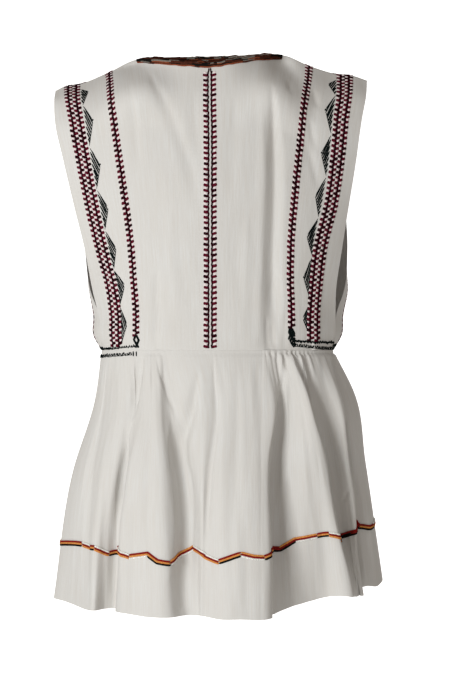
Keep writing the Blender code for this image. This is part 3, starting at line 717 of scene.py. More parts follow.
@functools.lru_cache(maxsize=None)
def skirt():
    """The skirt as one dense closed net. Down it, cubic pieces run through the waist ring and three rings of
    fold points; across it, through the folds. Gathers and small pleats fade out below the waist."""
    # the plain form: rings through the folds from the waist to the hem
    waist, rings, hem_z, _ = skirt_columns()
    folds = len(waist)
    u = np.linspace(0, folds, folds * PER_FOLD + 1)
    v = np.concatenate([[0, 0.003], np.linspace(0.007, 0.12, 15, endpoint=False), np.linspace(0.12, 1, 78)])
    degrees = round_ring(waist, u, 360.0)
    _, _, middle, half, front, _, behind, roundness, _, _ = SECTIONS[0]
    top = ring_point(degrees, middle, half, front, behind, roundness)
    levels = np.array([top] + [round_ring(r, u) for r in rings])
    drop = round_ring(hem_z, u) - WAIST_Z + SEAM_GAP
    flat = through(FOLD_LEVELS, levels, np.where(v <= 0.015, 0, v))
    out = np.gradient(top, axis=0)
    out = unit(np.stack([out[:, 1], -out[:, 0]], axis=1))
    # the gathers, and small pleats on them where they are, under the seam
    fade = np.interp(v, (0.012, 0.035, 0.07, 0.15), (0, 1, 0.9, 0))
    turn = np.radians(degrees)
    pleats = np.sin(turn * 112 + 1.8 * np.sin(turn * 9)) * (1 + 0.4 * np.sin(turn * 31))
    fine = np.interp(v, (0.002, 0.016, 0.05, 0.12), (0.25, 1.0, 0.7, 0))
    seen = np.interp(degrees, *np.transpose(GATHERED))
    waves = gather(degrees) * seen
    push = fade[:, None] * waves[None] + fine[:, None] * (pleats * seen * (np.abs(waves) > 0))[None]
    flat = flat + push[..., None] * out[None]
    z = WAIST_Z - SEAM_GAP + v[:, None] * drop[None]
    points = np.concatenate([flat, z[..., None]], axis=2)
    # soft ripples, the cloth drawn in at the waist seam, and the pressed seams
    across = run_along(points[-1])
    soft = 0.6 * ripples(across[None], SKIRT_LENGTH * v[:, None], 21, (18, 60), (150, 500), 12)
    soft *= np.clip(v / 0.1, 0, 1)[:, None] * np.minimum(1, np.minimum(u, folds - u) / 2)[None]
    soft -= 0.5 * np.clip(1 - v / 0.003, 0, 1)[:, None]
    for name in SKIRT_SEAMS:
        apart = np.abs(across - across[number(FRONT_FOLDS + BACK_FOLDS, name) * PER_FOLD])
        soft -= 0.35 * np.exp(-((apart / 2.4) ** 2))[None]
    points = points + Cloth.faced(points, -1) * soft[..., None]
    # creases, in front and behind
    ahead = np.interp(u, (0, 1, len(FRONT_FOLDS) - 2, len(FRONT_FOLDS)), (0, 1, 1, 0))
    for facing, lines, part in ((1, SKIRT_CREASES, ahead), (-1, SKIRT_BACK_CREASES, 1 - ahead)):
        points = creased(points, Cloth.faced(points, -1), facing, lines, part[None])
    points[:, -1] = points[:, 0]
    cloth = Cloth(points, v, u, -1)
    cloth.normals[:, 0] = cloth.normals[:, -1] = unit(cloth.normals[:, 0] + cloth.normals[:, -1])
    return cloth


# Meshes


def net_faces(rows, columns, side):
    """Quads of a net of points, row after row, wound so that they face the way of side."""
    r, c = np.meshgrid(np.arange(rows - 1), np.arange(columns - 1), indexing="ij")
    a = r * columns + c
    quads = np.stack([a, a + 1, a + 1 + columns, a + columns], axis=-1).reshape(-1, 4)
    return quads if side > 0 else quads[:, ::-1]


def piece(name, points, faces, materials, uv=None, kinds=None):
    """A smooth mesh object in the garment's collection. Points are in mm, uv in metres for each point,
    and kinds gives each face's material."""
    mesh = bpy.data.meshes.new(name)
    points = np.asarray(points, float).reshape(-1, 3)
    mesh.vertices.add(len(points))
    mesh.vertices.foreach_set("co", (points / 1000).ravel())
    mesh.loops.add(faces.size)
    mesh.loops.foreach_set("vertex_index", faces.ravel().astype(np.int32))
    mesh.polygons.add(len(faces))
    mesh.polygons.foreach_set("loop_start", np.arange(0, faces.size, 4, dtype=np.int32))
    mesh.polygons.foreach_set("use_smooth", np.ones(len(faces), bool))
    for m in materials:
        mesh.materials.append(m)
    if kinds is not None:
        mesh.polygons.foreach_set("material_index", np.asarray(kinds, np.int32))
    mesh.update(calc_edges=True)
    if uv is not None:
        layer = mesh.uv_layers.new(name="cloth")
        layer.data.foreach_set("uv", np.asarray(uv)[faces.ravel()].ravel())
    mesh.validate()
    obj = bpy.data.objects.new(name, mesh)
    garment().objects.link(obj)
    return obj


def garment():
    """The collection that holds the garment's pieces."""
    found = bpy.data.collections.get("Folk Top")
    if found is None:
        found = bpy.data.collections.new("Folk Top")
        bpy.context.scene.collection.children.link(found)
    return found


def walled(name, points, normals, faces, uv):
    """A cloth with its wall: the sheet moved half the wall out and half in along its normals, and a rim
    along every open edge. Panels that meet share their normals, so only the pressed groove shows between."""
    used, faces = np.unique(faces, return_inverse=True)
    faces = faces.reshape(-1, 4)
    points, normals, uv = points[used], normals[used], np.asarray(uv)[used]
    count = len(points)
    edges = np.concatenate([faces[:, [k, (k + 1) % 4]] for k in range(4)])
    low, high = edges.min(axis=1), edges.max(axis=1)
    keys = low.astype(np.int64) * count + high
    _, inverse, times = np.unique(keys, return_inverse=True, return_counts=True)
    a, b = edges[times[inverse] == 1].T
    rim = np.stack([b, a, a + count, b + count], axis=1)
    half = normals * bpy.context.scene.folk_top_cloth.thickness * 500  # half the wall in mm
    shell = np.concatenate([points + half, points - half])
    faces = np.concatenate([faces, faces[:, ::-1] + count, rim])
    obj = piece(name, shell, faces, [cotton_cloth()], np.concatenate([uv, uv]))
    obj.data.normals_split_custom_set_from_vertices(np.concatenate([normals, -normals]))
    return obj


def settle(obj, slot, *nodes):
    """Lets a piece ride on the garment's one body and stand for its solids."""
    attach(obj, "root")
    if nodes:
        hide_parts(*nodes)


def stitch_mesh(point, side, across, along, reach, rise, width, height, fine=4):
    """Many satin stitches as one net each: a bar from (across, along) minus half of (reach, rise) to plus
    half, round on top, narrower and lower at both ends. All inputs are arrays with one value a stitch, and
    fine is how many rows of points a stitch has."""
    across, along, reach, rise, width, height = (
        x[:, None, None] for x in np.broadcast_arrays(across, along, reach, rise, width, height)
    )
    t = np.concatenate([[-1], np.linspace(-0.72, 0.72, fine - 2), [1]])[:, None]
    slim = np.where(np.abs(t) > 0.9, 0.5, 1.0)
    low = np.where(np.abs(t) > 0.9, 0.25, 1.0)
    c = np.array([-1, -0.62, 0, 0.62, 1])
    dome = np.array([-0.3, 0.72, 1, 0.72, -0.3])
    half = 0.5 * width * slim * c / np.hypot(reach, rise)
    lift = CLOTH / 2 + height * low * dome
    points = point(across + 0.5 * reach * t - rise * half, along + 0.5 * rise * t + reach * half, lift)
    one = net_faces(len(t), len(c), -side)
    faces = (np.arange(len(across))[:, None, None] * len(t) * len(c) + one[None]).reshape(-1, 4)
    return points.reshape(-1, 3), faces, len(one)


def joined(name, parts, materials):
    """One object of many stitch nets; parts are (points, faces, material of each face)."""
    start, points, faces, kinds = 0, [], [], []
    for p, f, k in parts:
        points.append(p)
        faces.append(f + start)
        kinds.append(k)
        start += len(p)
    return piece(name, np.concatenate(points), np.concatenate(faces), materials, kinds=np.concatenate(kinds))


def row(band, kind, seed, across, along, reach, rise, width, height, fine=4):
    """Stitches on a band with a little unevenness by hand. kind numbers the thread, for all or for each."""
    rng = np.random.default_rng(seed)
    along = np.asarray(along, float)
    n = len(along)
    across = np.broadcast_to(across, n) + rng.normal(0, 0.16, n)
    along = along + rng.normal(0, 0.16, n)
    reach = np.broadcast_to(reach, n) * rng.uniform(0.92, 1.06, n)
    rise = np.broadcast_to(rise, n) + rng.normal(0, 0.15, n)
    width = width * rng.uniform(0.9, 1.1, n)
    p, f, per = stitch_mesh(band.point, band.cloth.side, across, along, reach, rise, width, height, fine)
    return p, f, np.repeat(np.broadcast_to(kind, n), per)


def ladder(band, stem, half, low, high, seed, sides=(-1, 1), wave=0.45, thick=4.3):
    """A wavy stem, and on each side, every pitch, a dark rung with a smaller white block above it. The two
    sides are half a pitch apart, so the whites of neighbouring columns sit between each other."""
    rng = np.random.default_rng(seed)
    base, gap = band.steps(low, high, bpy.context.scene.folk_top_thread.pitch * 1000)
    parts = []
    for k, side in enumerate(sides):
        up = base + 0.5 * k * gap
        dyes = np.where(rng.random(len(up)) < 0.3, DARK, MAROON)
        parts.append(
            row(band, WHITE, seed + 3, stem + side * half * 0.6, up + gap / 2 + 0.4, side * half * 0.58, 1.3,
                gap * 0.48, 0.9)
        )
        parts.append(
            row(band, dyes, seed + 2, stem + side * half * 0.54, up + 0.4, side * half * 0.98, 1.6,
                gap * 0.62, 1.0)
        )
    for k, lean in ((0, -1), (1, 1)):
        parts.append(
            row(band, DARK, seed + k, stem + lean * wave, base + gap * 0.5 * k + 0.4, lean * 1.1, gap * 0.68,
                thick, 1.1)
        )
    return parts


class Row:
    """A straight row of stitches across a cloth: from one place u to another, and between two heights in mm
    from the cloth's start. along is the share of v that a mm of height is."""

    def __init__(self, cloth, ends, heights, along):
        self.cloth, self.heights, self.along = cloth, heights, along
        self.u, self.share = np.linspace(*ends, 200), np.linspace(0, 1, 200)
        line = cloth.at(self.u, (heights[0] + self.share * (heights[1] - heights[0])) * along)
        self.run = run_along(line)
        self.length = self.run[-1]
        self.turn = cloth.side * (1 if ends[1] > ends[0] else -1) * (-1 if cloth.v_down else 1)

    def point(self, across, up, lift):
        """A place: mm along the row, and mm from its middle line in the way that v grows."""
        share = np.interp(across, self.run, self.share)
        height = self.heights[0] + share * (self.heights[1] - self.heights[0]) + up
        return self.cloth.at(np.interp(across, self.run, self.u), height * self.along, lift)

    def stitches(self, across, up, reach, rise, width, height):
        """Green stitches at places along the row."""
        p, f, _ = stitch_mesh(self.point, self.turn, across, up, reach, rise, width, height)
        return p, f, np.full(len(f), GREEN)

    def slanted(self, spacing, reach, rise, width, height, uneven):
        """Stitches that lean by turns to one side and to the other."""
        at = np.arange(spacing / 2, self.length, spacing)
        tilt = np.where(np.arange(len(at)) % 2, 1.0, -1.0)
        rng = np.random.default_rng(int(self.length * 10))
        at = at + rng.normal(0, uneven, len(at))
        rise = tilt * rise * rng.uniform(0.8, 1.12, len(at))
        reach = reach * rng.uniform(0.7, 1.3, len(at))
        width = width * rng.uniform(0.85, 1.2, len(at))
        return self.stitches(at, rng.normal(0, 1.4 * uneven, len(at)), reach, rise, width, height)

    def line(self, offset, width, height):
        """A line of back stitch along the row at an offset from its middle."""
        at = np.arange(3, self.length, 6)
        rng = np.random.default_rng(int(self.length * 7))
        up, rise = offset + rng.normal(0, 0.25, len(at)), rng.normal(0, 0.4, len(at))
        return self.stitches(at, up, 6.6, rise, width, height)


def hatch(band, way, notches, seed):
    """Triangles of long slanting threads, on the side of the band that way gives. From each notch the outer
    edge goes out to the reach half way to the next notch and back; each thread starts on the base or the
    upper edge and ends on the lower edge."""
    marks = band.height(np.array(notches, float))
    parts, rng = [], np.random.default_rng(seed)
    for top, bottom in zip(marks, marks[1:]):
        tall = top - bottom
        slope = 2 * TRIANGLE_REACH / tall
        lean = min(HATCH_LEAN, 0.72 * slope)
        first = -(slope - lean) / lean * tall / 2 * 0.92
        c = np.arange(first, tall - 4, HATCH_GAP / lean)
        begin = np.where(c >= 0, c, -lean * c / (slope - lean))
        end = (slope * tall + lean * c) / (slope + lean)
        keep = end - begin > 3
        c, begin, end = c[keep], begin[keep], end[keep]
        mid = (begin + end) / 2
        out = lean * (mid - c)
        parts.append(
            row(band, GREEN, rng.integers(1000), way * (out + 1.0), top - mid, way * lean * (end - begin),
                -(end - begin) * 0.95, 2.65, 0.55, fine=9)
        )
        edge = np.array([0.25, 0.75])
        parts.append(
            row(band, GREEN, rng.integers(1000), way * (TRIANGLE_REACH * 0.49 + 0.6), top - edge * tall,
                way * TRIANGLE_REACH * 0.9 * np.array([1, -1]), -tall * 0.45, 1.5, 0.7, fine=8)
        )
    return parts


def beside(path, toward):
    """Unit vectors along a closed path, and across it towards the given vectors."""
    along = unit(np.roll(path, -1, axis=0) - np.roll(path, 1, axis=0))
    return along, unit(toward - (toward * along).sum(axis=1, keepdims=True) * along)


def yarn(path, side, out, half_width, half_height):
    """An oval tube along a closed path: centre plus side times width cosine plus out times height sine."""
    angle = np.linspace(0, 2 * math.pi, YARN_SIDES, endpoint=False)
    wide = np.broadcast_to(half_width, len(path))[:, None] * np.cos(angle)
    high = np.broadcast_to(half_height, len(path))[:, None] * np.sin(angle)
    points = path[:, None] + side[:, None] * wide[..., None] + out[:, None] * high[..., None]
    r, c = np.meshgrid(np.arange(len(path)), np.arange(YARN_SIDES), indexing="ij")
    here, on = r * YARN_SIDES, (r + 1) % len(path) * YARN_SIDES
    faces = np.stack([here + c, here + (c + 1) % YARN_SIDES, on + (c + 1) % YARN_SIDES, on + c], axis=-1)
    faces = faces.reshape(-1, 4)
    quad = points.reshape(-1, 3)[faces]
    normal = np.cross(quad[:, 2] - quad[:, 0], quad[:, 3] - quad[:, 1])
    away = quad.mean(axis=1) - np.repeat(path, YARN_SIDES, axis=0)
    return points.reshape(-1, 3), faces if (normal * away).sum() > 0 else faces[:, ::-1]


# Materials


def linear(code):
    """A colour from its sRGB hex code, as the linear values that the shaders take."""
    s = np.array([int(code[i:i + 2], 16) for i in (1, 3, 5)]) / 255
    return tuple(np.where(s <= 0.04045, s / 12.92, ((s + 0.055) / 1.055) ** 2.4).tolist())


def node(tree, kind, inputs=None, **settings):
    """Adds a node, sets its settings, and sets or links its inputs."""
    n = tree.nodes.new(kind)
    for key, value in settings.items():
        setattr(n, key, value)
    for key, value in (inputs or {}).items():
        if isinstance(value, bpy.types.NodeSocket):
            tree.links.new(value, n.inputs[key])
        else:
            n.inputs[key].default_value = value
    return n


def blank(name):
    """A material with only a Principled shader and its output."""
    m = bpy.data.materials.new(name)
    m.use_nodes = True
    return m, m.node_tree, m.node_tree.nodes["Principled BSDF"]


def handwoven_cotton(settings):
    """Undyed handwoven cotton: plain weave of uneven yarn, so it shows slubs and a fine crinkle up the
    cloth, is matt, and is a little warmer where the yarn is thick."""
    m, tree, shader = blank("handwoven cotton")
    uv = node(tree, "ShaderNodeUVMap", uv_map="cloth").outputs["UV"]
    mm = node(tree, "ShaderNodeVectorMath", {0: uv, 1: (1000, 1000, 1000)}, operation="MULTIPLY").outputs[0]

    def streaks(x, y, detail=2.0):
        """Noise in spots of x by y mm."""
        size = node(tree, "ShaderNodeVectorMath", {0: mm, 1: (1 / x, 1 / y, 1)}, operation="MULTIPLY")
        return node(
            tree, "ShaderNodeTexNoise", {"Vector": size.outputs[0], "Scale": 1.0, "Detail": detail}
        ).outputs["Fac"]

    slub = streaks(settings.slub_width * 1000, 55)  # warp slubs, drawn wider than yarn so that they show
    weft = streaks(60, 2.4)
    crinkle = streaks(8, 42, 3.0)
    patch = streaks(70, 90)
    tone = node(tree, "ShaderNodeMapRange", {"Value": slub, "From Min": 0.3, "From Max": 0.75}).outputs[0]
    pale, warm = (*settings.cotton, 1), (*settings.cotton_warm, 1)
    yarn_tone = node(
        tree, "ShaderNodeMix", {"Factor": tone, 6: pale, 7: warm}, data_type="RGBA"
    ).outputs[2]
    spread = node(
        tree, "ShaderNodeMapRange", {"Value": patch, "From Min": 0.35, "From Max": 0.7, "To Max": 0.5}
    ).outputs[0]
    tint = node(
        tree, "ShaderNodeMix", {"Factor": spread, 6: yarn_tone, 7: warm}, data_type="RGBA"
    ).outputs[2]
    tree.links.new(tint, shader.inputs["Base Color"])
    add = node(tree, "ShaderNodeMath", {0: slub, 1: weft}, operation="ADD").outputs[0]
    weave = node(tree, "ShaderNodeBump", {"Strength": 0.22, "Distance": 0.0004, "Height": add})
    creased = node(
        tree, "ShaderNodeBump",
        {"Strength": 0.4, "Distance": 0.0013, "Height": crinkle, "Normal": weave.outputs[0]},
    )
    tree.links.new(creased.outputs[0], shader.inputs["Normal"])
    shader.inputs["Roughness"].default_value = 0.92
    shader.inputs["Specular IOR Level"].default_value = 0.2
    shader.inputs["Sheen Weight"].default_value = 0.08
    return m


def spun_thread(name, dye, pitch, roughness, between):
    """Dyed cotton or wool thread, laid in satin stitches: fine strands side by side, with a painted streaky
    sheen on them and painted shade between them, where the colour falls to the dye times between."""
    m, tree, shader = blank(name)
    spot = node(tree, "ShaderNodeTexCoord").outputs["Object"]
    size = node(tree, "ShaderNodeVectorMath", {0: spot, 1: (1000 / pitch,) * 3}, operation="MULTIPLY")
    strands = node(
        tree, "ShaderNodeTexNoise", {"Vector": size.outputs[0], "Scale": 1.0, "Detail": 2.0}
    ).outputs["Fac"]
    # painted shade between the strands: the dye times between
    dark = tuple(between * c for c in dye) + (1,)
    # painted sheen on the strands: up to 1.15 times the dye
    light = tuple(min(1.0, 1.15 * c) for c in dye) + (1,)
    tone = node(tree, "ShaderNodeMapRange", {"Value": strands, "From Min": 0.32, "From Max": 0.68}).outputs[0]
    tree.links.new(
        node(tree, "ShaderNodeMix", {"Factor": tone, 6: dark, 7: light}, data_type="RGBA").outputs[2],
        shader.inputs["Base Color"],
    )
    bump = node(tree, "ShaderNodeBump", {"Strength": 0.4, "Distance": 0.0003, "Height": strands})
    tree.links.new(bump.outputs[0], shader.inputs["Normal"])
    shader.inputs["Roughness"].default_value = roughness
    shader.inputs["Specular IOR Level"].default_value = 0.0  # loose fibres: no mirror light at a low angle
    return m


def cotton_cloth():
    """The cotton, made once for all the panels."""
    return bpy.data.materials.get("handwoven cotton") or handwoven_cotton(bpy.context.scene.folk_top_cloth)


def dyed(table, pitch):
    """The materials of a table of threads, in its order, each made once. pitch is a strand's width in mm."""
    colours = bpy.context.scene.folk_top_thread
    return [
        bpy.data.materials.get(name) or spun_thread(name, tuple(getattr(colours, key)), pitch, rough, between)
        for key, name, rough, between in table
    ]


def threads():
    """The embroidery threads in the order that the stitches number them."""
    return dyed(THREADS, 1.2)


def wools():
    """The yarns of the braid and the binding in the order of their numbers."""
    # 0.6: the colour left in the painted shade between the strands
    return dyed([("wool_" + short, short + " wool yarn", 0.85, 0.6) for short in WOOLS], 1.6)


# Settings


def colour(name, description, code):
    """A colour setting whose default is an sRGB hex code."""
    return bpy.props.FloatVectorProperty(
        name=name, description=description, subtype="COLOR", default=linear(code), min=0, max=1
    )


def length(name, description, default, low, high):
    """A length setting, given in mm."""
    return bpy.props.FloatProperty(
        name=name, description=description, default=default / 1000, min=low / 1000, max=high / 1000,
        unit="LENGTH", precision=4,
    )


def wool(short):
    """The colour setting of a wool yarn."""
    return colour(short.capitalize() + " wool", WOOLS[short][2], WOOLS[short][1])


class ClothSettings(bpy.types.PropertyGroup):
    """The cotton"""

    thickness: length("Thickness", "Wall of the cotton", CLOTH, 0.4, 2)
    slub_width: length("Slub width", "Width of a slub in the warp", 1.7, 0.5, 6)
    cotton: colour("Cotton", "The cotton where the yarn is fine", "#D6D5D3")
    cotton_warm: colour("Cotton, warm", "The cotton where the yarn is thick", "#D0CCC7")


class ThreadSettings(bpy.types.PropertyGroup):
    """The embroidery and the wool"""

    pitch: length("Rung spacing", "From one rung of a ladder to the next", 8, 5, 20)
    maroon: colour("Maroon", "Rungs of the ladders", "#5C1526")
    black: colour("Black maroon", "Stems of the ladders", "#2C0A12")
    white: colour("White", "Blocks between the rungs", "#E6D8D8")
    green: colour("Green black", "Hatched triangles and waist rows", "#111818")
    wool_red: wool("red")
    wool_orange: wool("orange")
    wool_black: wool("black")
    wool_white: wool("white")
    wool_brown: wool("brown")
    wool_grey: wool("grey")
    wool_rust: wool("rust")


class StageSettings(bpy.types.PropertyGroup):
    """The studio"""

    key_power: bpy.props.FloatProperty(
        name="Key light", description="Soft light from the left, level with the garment", default=84.0,
        min=0, unit="POWER",
    )
    room: bpy.props.FloatProperty(
        name="Room light", description="Even light from all round", default=0.34, min=0, max=2,
    )
    paper: bpy.props.FloatProperty(
        name="Backdrop light", description="How brightly the paper behind is lit", default=0.9, min=0, max=2,
    )
    distance: bpy.props.FloatProperty(
        name="Camera distance", description="From the garment's middle", default=2.6, min=0.5, unit="LENGTH",
    )


# Operators


class FOLKTOP_OT_bodice(bpy.types.Operator):
    """Make the body panel and the two shoulder strips, each in one piece over the shoulder"""

    bl_idname = "folktop.bodice"
    bl_label = "Bodice"

    def execute(self, context):
        front, back, hole = bodice()
        seams = [int(np.argmin(np.abs(front.u - place(name)))) for name in ("narrow_left", "narrow_right")]
        last = len(front.u) - 1
        for name, a, b, open_part in (
            ("body_panel", seams[0], seams[1], hole),
            ("shoulder_strip_left", 0, seams[0], None),
            ("shoulder_strip_right", seams[1], last, None),
        ):
            rows, columns = len(front.v), b - a + 1
            count = rows * columns
            faces = np.concatenate([net_faces(rows, columns, 1), count + net_faces(rows, columns, -1)])
            c = np.arange(columns)
            shared = c if open_part is None else c[(c + a <= open_part[0]) | (c + a >= open_part[1])]
            top = (rows - 1) * columns + shared  # where the back takes the front's points, not at the hole
            kept = np.arange(2 * count)
            kept[count + top] = top
            points = np.concatenate([cloth.points[:, a:b + 1].reshape(-1, 3) for cloth in (front, back)])
            normals = np.concatenate([cloth.normals[:, a:b + 1].reshape(-1, 3) for cloth in (front, back)])
            normals[top] = unit(normals[top] + normals[count + top])
            u = np.broadcast_to(front.u[a:b + 1], (rows, columns)) / 1000
            v = np.broadcast_to(front.v[:, None] * BODICE_LENGTH / 1000, (rows, columns))
            uv = np.concatenate([np.stack([u, v], -1), np.stack([u, CUT_LENGTH - v], -1)]).reshape(-1, 2)
            settle(walled(name + "_cloth", points, normals, kept[faces], uv), "cotton", name)
        return {"FINISHED"}


class FOLKTOP_OT_skirt(bpy.types.Operator):
    """Make the four panels of the gathered skirt"""

    bl_idname = "folktop.skirt"
    bl_label = "Skirt"

    def execute(self, context):
        cloth = skirt()
        around = (len(FRONT_FOLDS) + len(BACK_FOLDS)) * PER_FOLD
        run = run_along(cloth.points[UV_ROW]) / 1000
        seams = [number(FRONT_FOLDS + BACK_FOLDS, name) * PER_FOLD for name in SKIRT_SEAMS]
        for k, name in enumerate(("skirt_front", "skirt_side_right", "skirt_back", "skirt_side_left")):
            start, end = seams[k], seams[(k + 1) % 4]
            count = (end - start) % around
            columns = (start + np.arange(count + 1)) % around
            x = run[columns] + np.where(columns < start, run[-1], 0)
            y = SKIRT_LENGTH / 1000 * (1 - cloth.v[:, None])
            uv = np.stack(np.broadcast_arrays(x[None], y), -1).reshape(-1, 2)
            points, normals = (net[:, columns].reshape(-1, 3) for net in (cloth.points, cloth.normals))
            faces = net_faces(len(cloth.v), count + 1, -1)
            settle(walled(name + "_cloth", points, normals, faces, uv), "cotton", name)
        return {"FINISHED"}


class FOLKTOP_OT_ladders(bpy.types.Operator):
    """Embroider the ladders: one pair down the centre, a narrow and a wide band on each side"""

    bl_idname = "folktop.ladders"
    bl_label = "Ladders"

    def execute(self, context):
        front, back, _ = bodice()
        centre = Band(front, 0.0)
        top = centre.length - 7
        parts = []
        for side in (-1, 1):
            parts += ladder(centre, side * 2.6, 7.2, 5.0, top - 8, 40 + side, (side,), wave=0.15, thick=3.0)
            across, up = side * np.array([2.4, 1.4]), np.array([top - 9, top - 4.5])
            parts.append(row(centre, DARK, 45 + side, across, up, side * -0.7, 6.5, 2.4, 0.9))
        settle(joined("centre_ladder", parts, threads()), "binding")
        for name, start in (("left", 22), ("right", 34)):
            line = "narrow_" + name
            parts = []
            for cloth, low, seed in ((front, start, 100), (back, 8, 200)):
                band = Band(cloth, place(line), 0.9)
                parts += ladder(band, 0, 6.4, low, band.length, seed + number(LINES, line))
            settle(joined("narrow_ladder_" + name, parts, threads()), "binding")
        for name, start in (("left", 7), ("right", 15)):
            line = "wide_inner_" + name
            middle = (place(line) + place("wide_outer_" + name)) / 2
            parts = []
            for cloth, across, low, seed in ((front, middle, start, 300), (back, middle * 0.95, 7, 400)):
                band = Band(cloth, across)
                for stem in (-6.3, 6.3):
                    parts += ladder(band, stem, 6.3, low, band.length, seed + number(LINES, line) + int(stem))
            settle(joined("wide_ladder_" + name, parts, threads()), "binding")
        return {"FINISHED"}


class FOLKTOP_OT_triangles(bpy.types.Operator):
    """Embroider the hatched triangles beside the wide bands"""

    bl_idname = "folktop.triangles"
    bl_label = "Triangles"

    def execute(self, context):
        front, back, _ = bodice()
        for name, way, notches in (("left", 1, NOTCHES_LEFT), ("right", -1, NOTCHES_RIGHT)):
            line = "wide_inner_" + name
            parts = []
            for cloth, seed in ((front, 500), (back, 600)):
                parts += hatch(Band(cloth, place(line)), way, notches, seed + number(LINES, line))
            settle(joined("triangles_" + name, parts, threads()), "binding")
        return {"FINISHED"}


class FOLKTOP_OT_waist_stitches(bpy.types.Operator):
    """Embroider the dark rows at the waist and the small ends of the narrow ladders"""

    bl_idname = "folktop.waist_stitches"
    bl_label = "Waist stitches"

    def execute(self, context):
        front, back, _ = bodice()
        below = skirt()
        degrees = round_ring(skirt_columns()[0], below.u, 360.0)
        lefts = place("narrow_left"), place("edge_left")
        rights = place("narrow_right"), place("edge_right")
        parts = []
        for cloth, ends, heights in (
            (front, lefts, (6.5, 1.8)), (front, rights, (13.5, 12.0)),
            (back, lefts, (6.5, 2.5)), (back, rights, (9, 7)),
        ):
            line = Row(cloth, ends, heights, 1 / BODICE_RISE)
            if cloth is front and ends is lefts:
                parts += [line.slanted(2.4, 0.8, 3.6, 1.7, 1.0, 0.35), line.line(-1.0, 1.3, 0.8)]
            else:
                parts += [line.slanted(3.0, 3.0, 3.6, 2.6, 1.3, 0.5), line.line(0.2, 2.4, 1.1)]
        lines = [
            Row(below, np.interp(span, degrees, below.u), heights, 1 / SKIRT_DROP)
            for span, heights in (
                ((-44.5, -84), (5.0, 9.5)), ((262, 277), (9.5, 9.5)), ((218, 262), (5.6, 9.5)),
            )
        ]
        lines += [
            Row(cloth, rights, heights, 1 / BODICE_RISE)
            for cloth, heights in ((front, (8.0, 3.2)), (back, (3.0, 2.6)))
        ]
        for line in lines:
            toward_seam = 2.3 if line.cloth.v_down else -2.3
            parts += [line.slanted(3.3, 1.7, 4.6, 2.2, 1.0, 0.3), line.line(toward_seam, 1.2, 0.7)]
        settle(joined("waist_stitches", parts, threads()), "binding")
        left, right = Band(front, place("narrow_left")), Band(front, place("narrow_right"))
        parts = []
        for band, low, seed, count in ((left, -1.0, 801, 6), (right, 10.0, 811, 7)):
            across, up, reach, rise = np.transpose(LOOP[:count])
            parts.append(row(band, GREEN, seed, across, low + up, reach, rise, 4.5, 1.2))
        parts.append(row(right, GREEN, 821, *np.transpose(TUFT), 3.4, 1.2))
        drop = Row(below, np.interp((-44.5, -38), degrees, below.u), (5.5, 5.5), 1 / SKIRT_DROP)
        parts.append(drop.stitches(np.array([2.5, 8.0]), 0.0, 0.3, 7.5, 2.4, 1.0))
        settle(joined("ladder_ends", parts, threads()), "binding")
        return {"FINISHED"}


class FOLKTOP_OT_hem_braid(bpy.types.Operator):
    """Lay the three rows of wool yarn above the hem, in a zigzag from fold to fold, pinched where the
    colour changes"""

    bl_idname = "folktop.hem_braid"
    bl_label = "Hem braid"

    def execute(self, context):
        cloth = skirt()
        _, _, hem_z, braid = skirt_columns()
        folds, fronts = len(hem_z), len(FRONT_FOLDS)
        behind = np.arange(fronts, folds + 1)
        knots = np.concatenate([[k[0] for k in BRAID_FRONT], [fronts - 0.01], behind])
        heights = np.append(braid, BRAID_FRONT[0][1])
        heights = np.concatenate([[k[1] for k in BRAID_FRONT], [heights[fronts]], heights[behind]])
        u = np.linspace(0, folds, folds * 24, endpoint=False)
        height = np.interp(u, knots, heights)
        drop = WAIST_Z - SEAM_GAP - round_ring(hem_z, u)
        v = 1 - height / drop
        path = cloth.at(u, v, CLOTH / 2 + 0.35)
        along, side = beside(path, cloth.at(u, v + 1 / drop, CLOTH / 2 + 0.35) - path)
        out = np.cross(side, along)
        facing = cloth.at(u, v, 1.0) - cloth.at(u, v)
        out *= np.sign((out * facing).sum(axis=1, keepdims=True))
        starts = [(k[0], *k[2:]) for k in BRAID_FRONT]
        starts += [(BRAID_FRONT[-1][0] + k, *BRAID_BACK[k % 3]) for k in range(1, folds - fronts + 2)]
        which = np.searchsorted([s[0] for s in starts], u, side="right") - 1
        steps = np.arange(len(u))
        parts = []
        for k in range(3):
            kinds = np.array([WOOLS[s[1 + k]][0] for s in starts])[which]
            ends = 1 + np.flatnonzero(kinds[1:] != kinds[:-1])
            pinch = np.clip(0.55 + 0.25 * np.abs(steps[:, None] - ends).min(axis=1), 0, 1)
            centre = path + side * BRAID_ROW * (k - 1) + out * 0.5
            p, f = yarn(centre, side, out, 1.5 * pinch, pinch)
            parts.append((p, f, np.repeat(kinds, YARN_SIDES)))
        settle(joined("hem_braid_yarn", parts, wools()), "braid", "hem_braid")
        return {"FINISHED"}


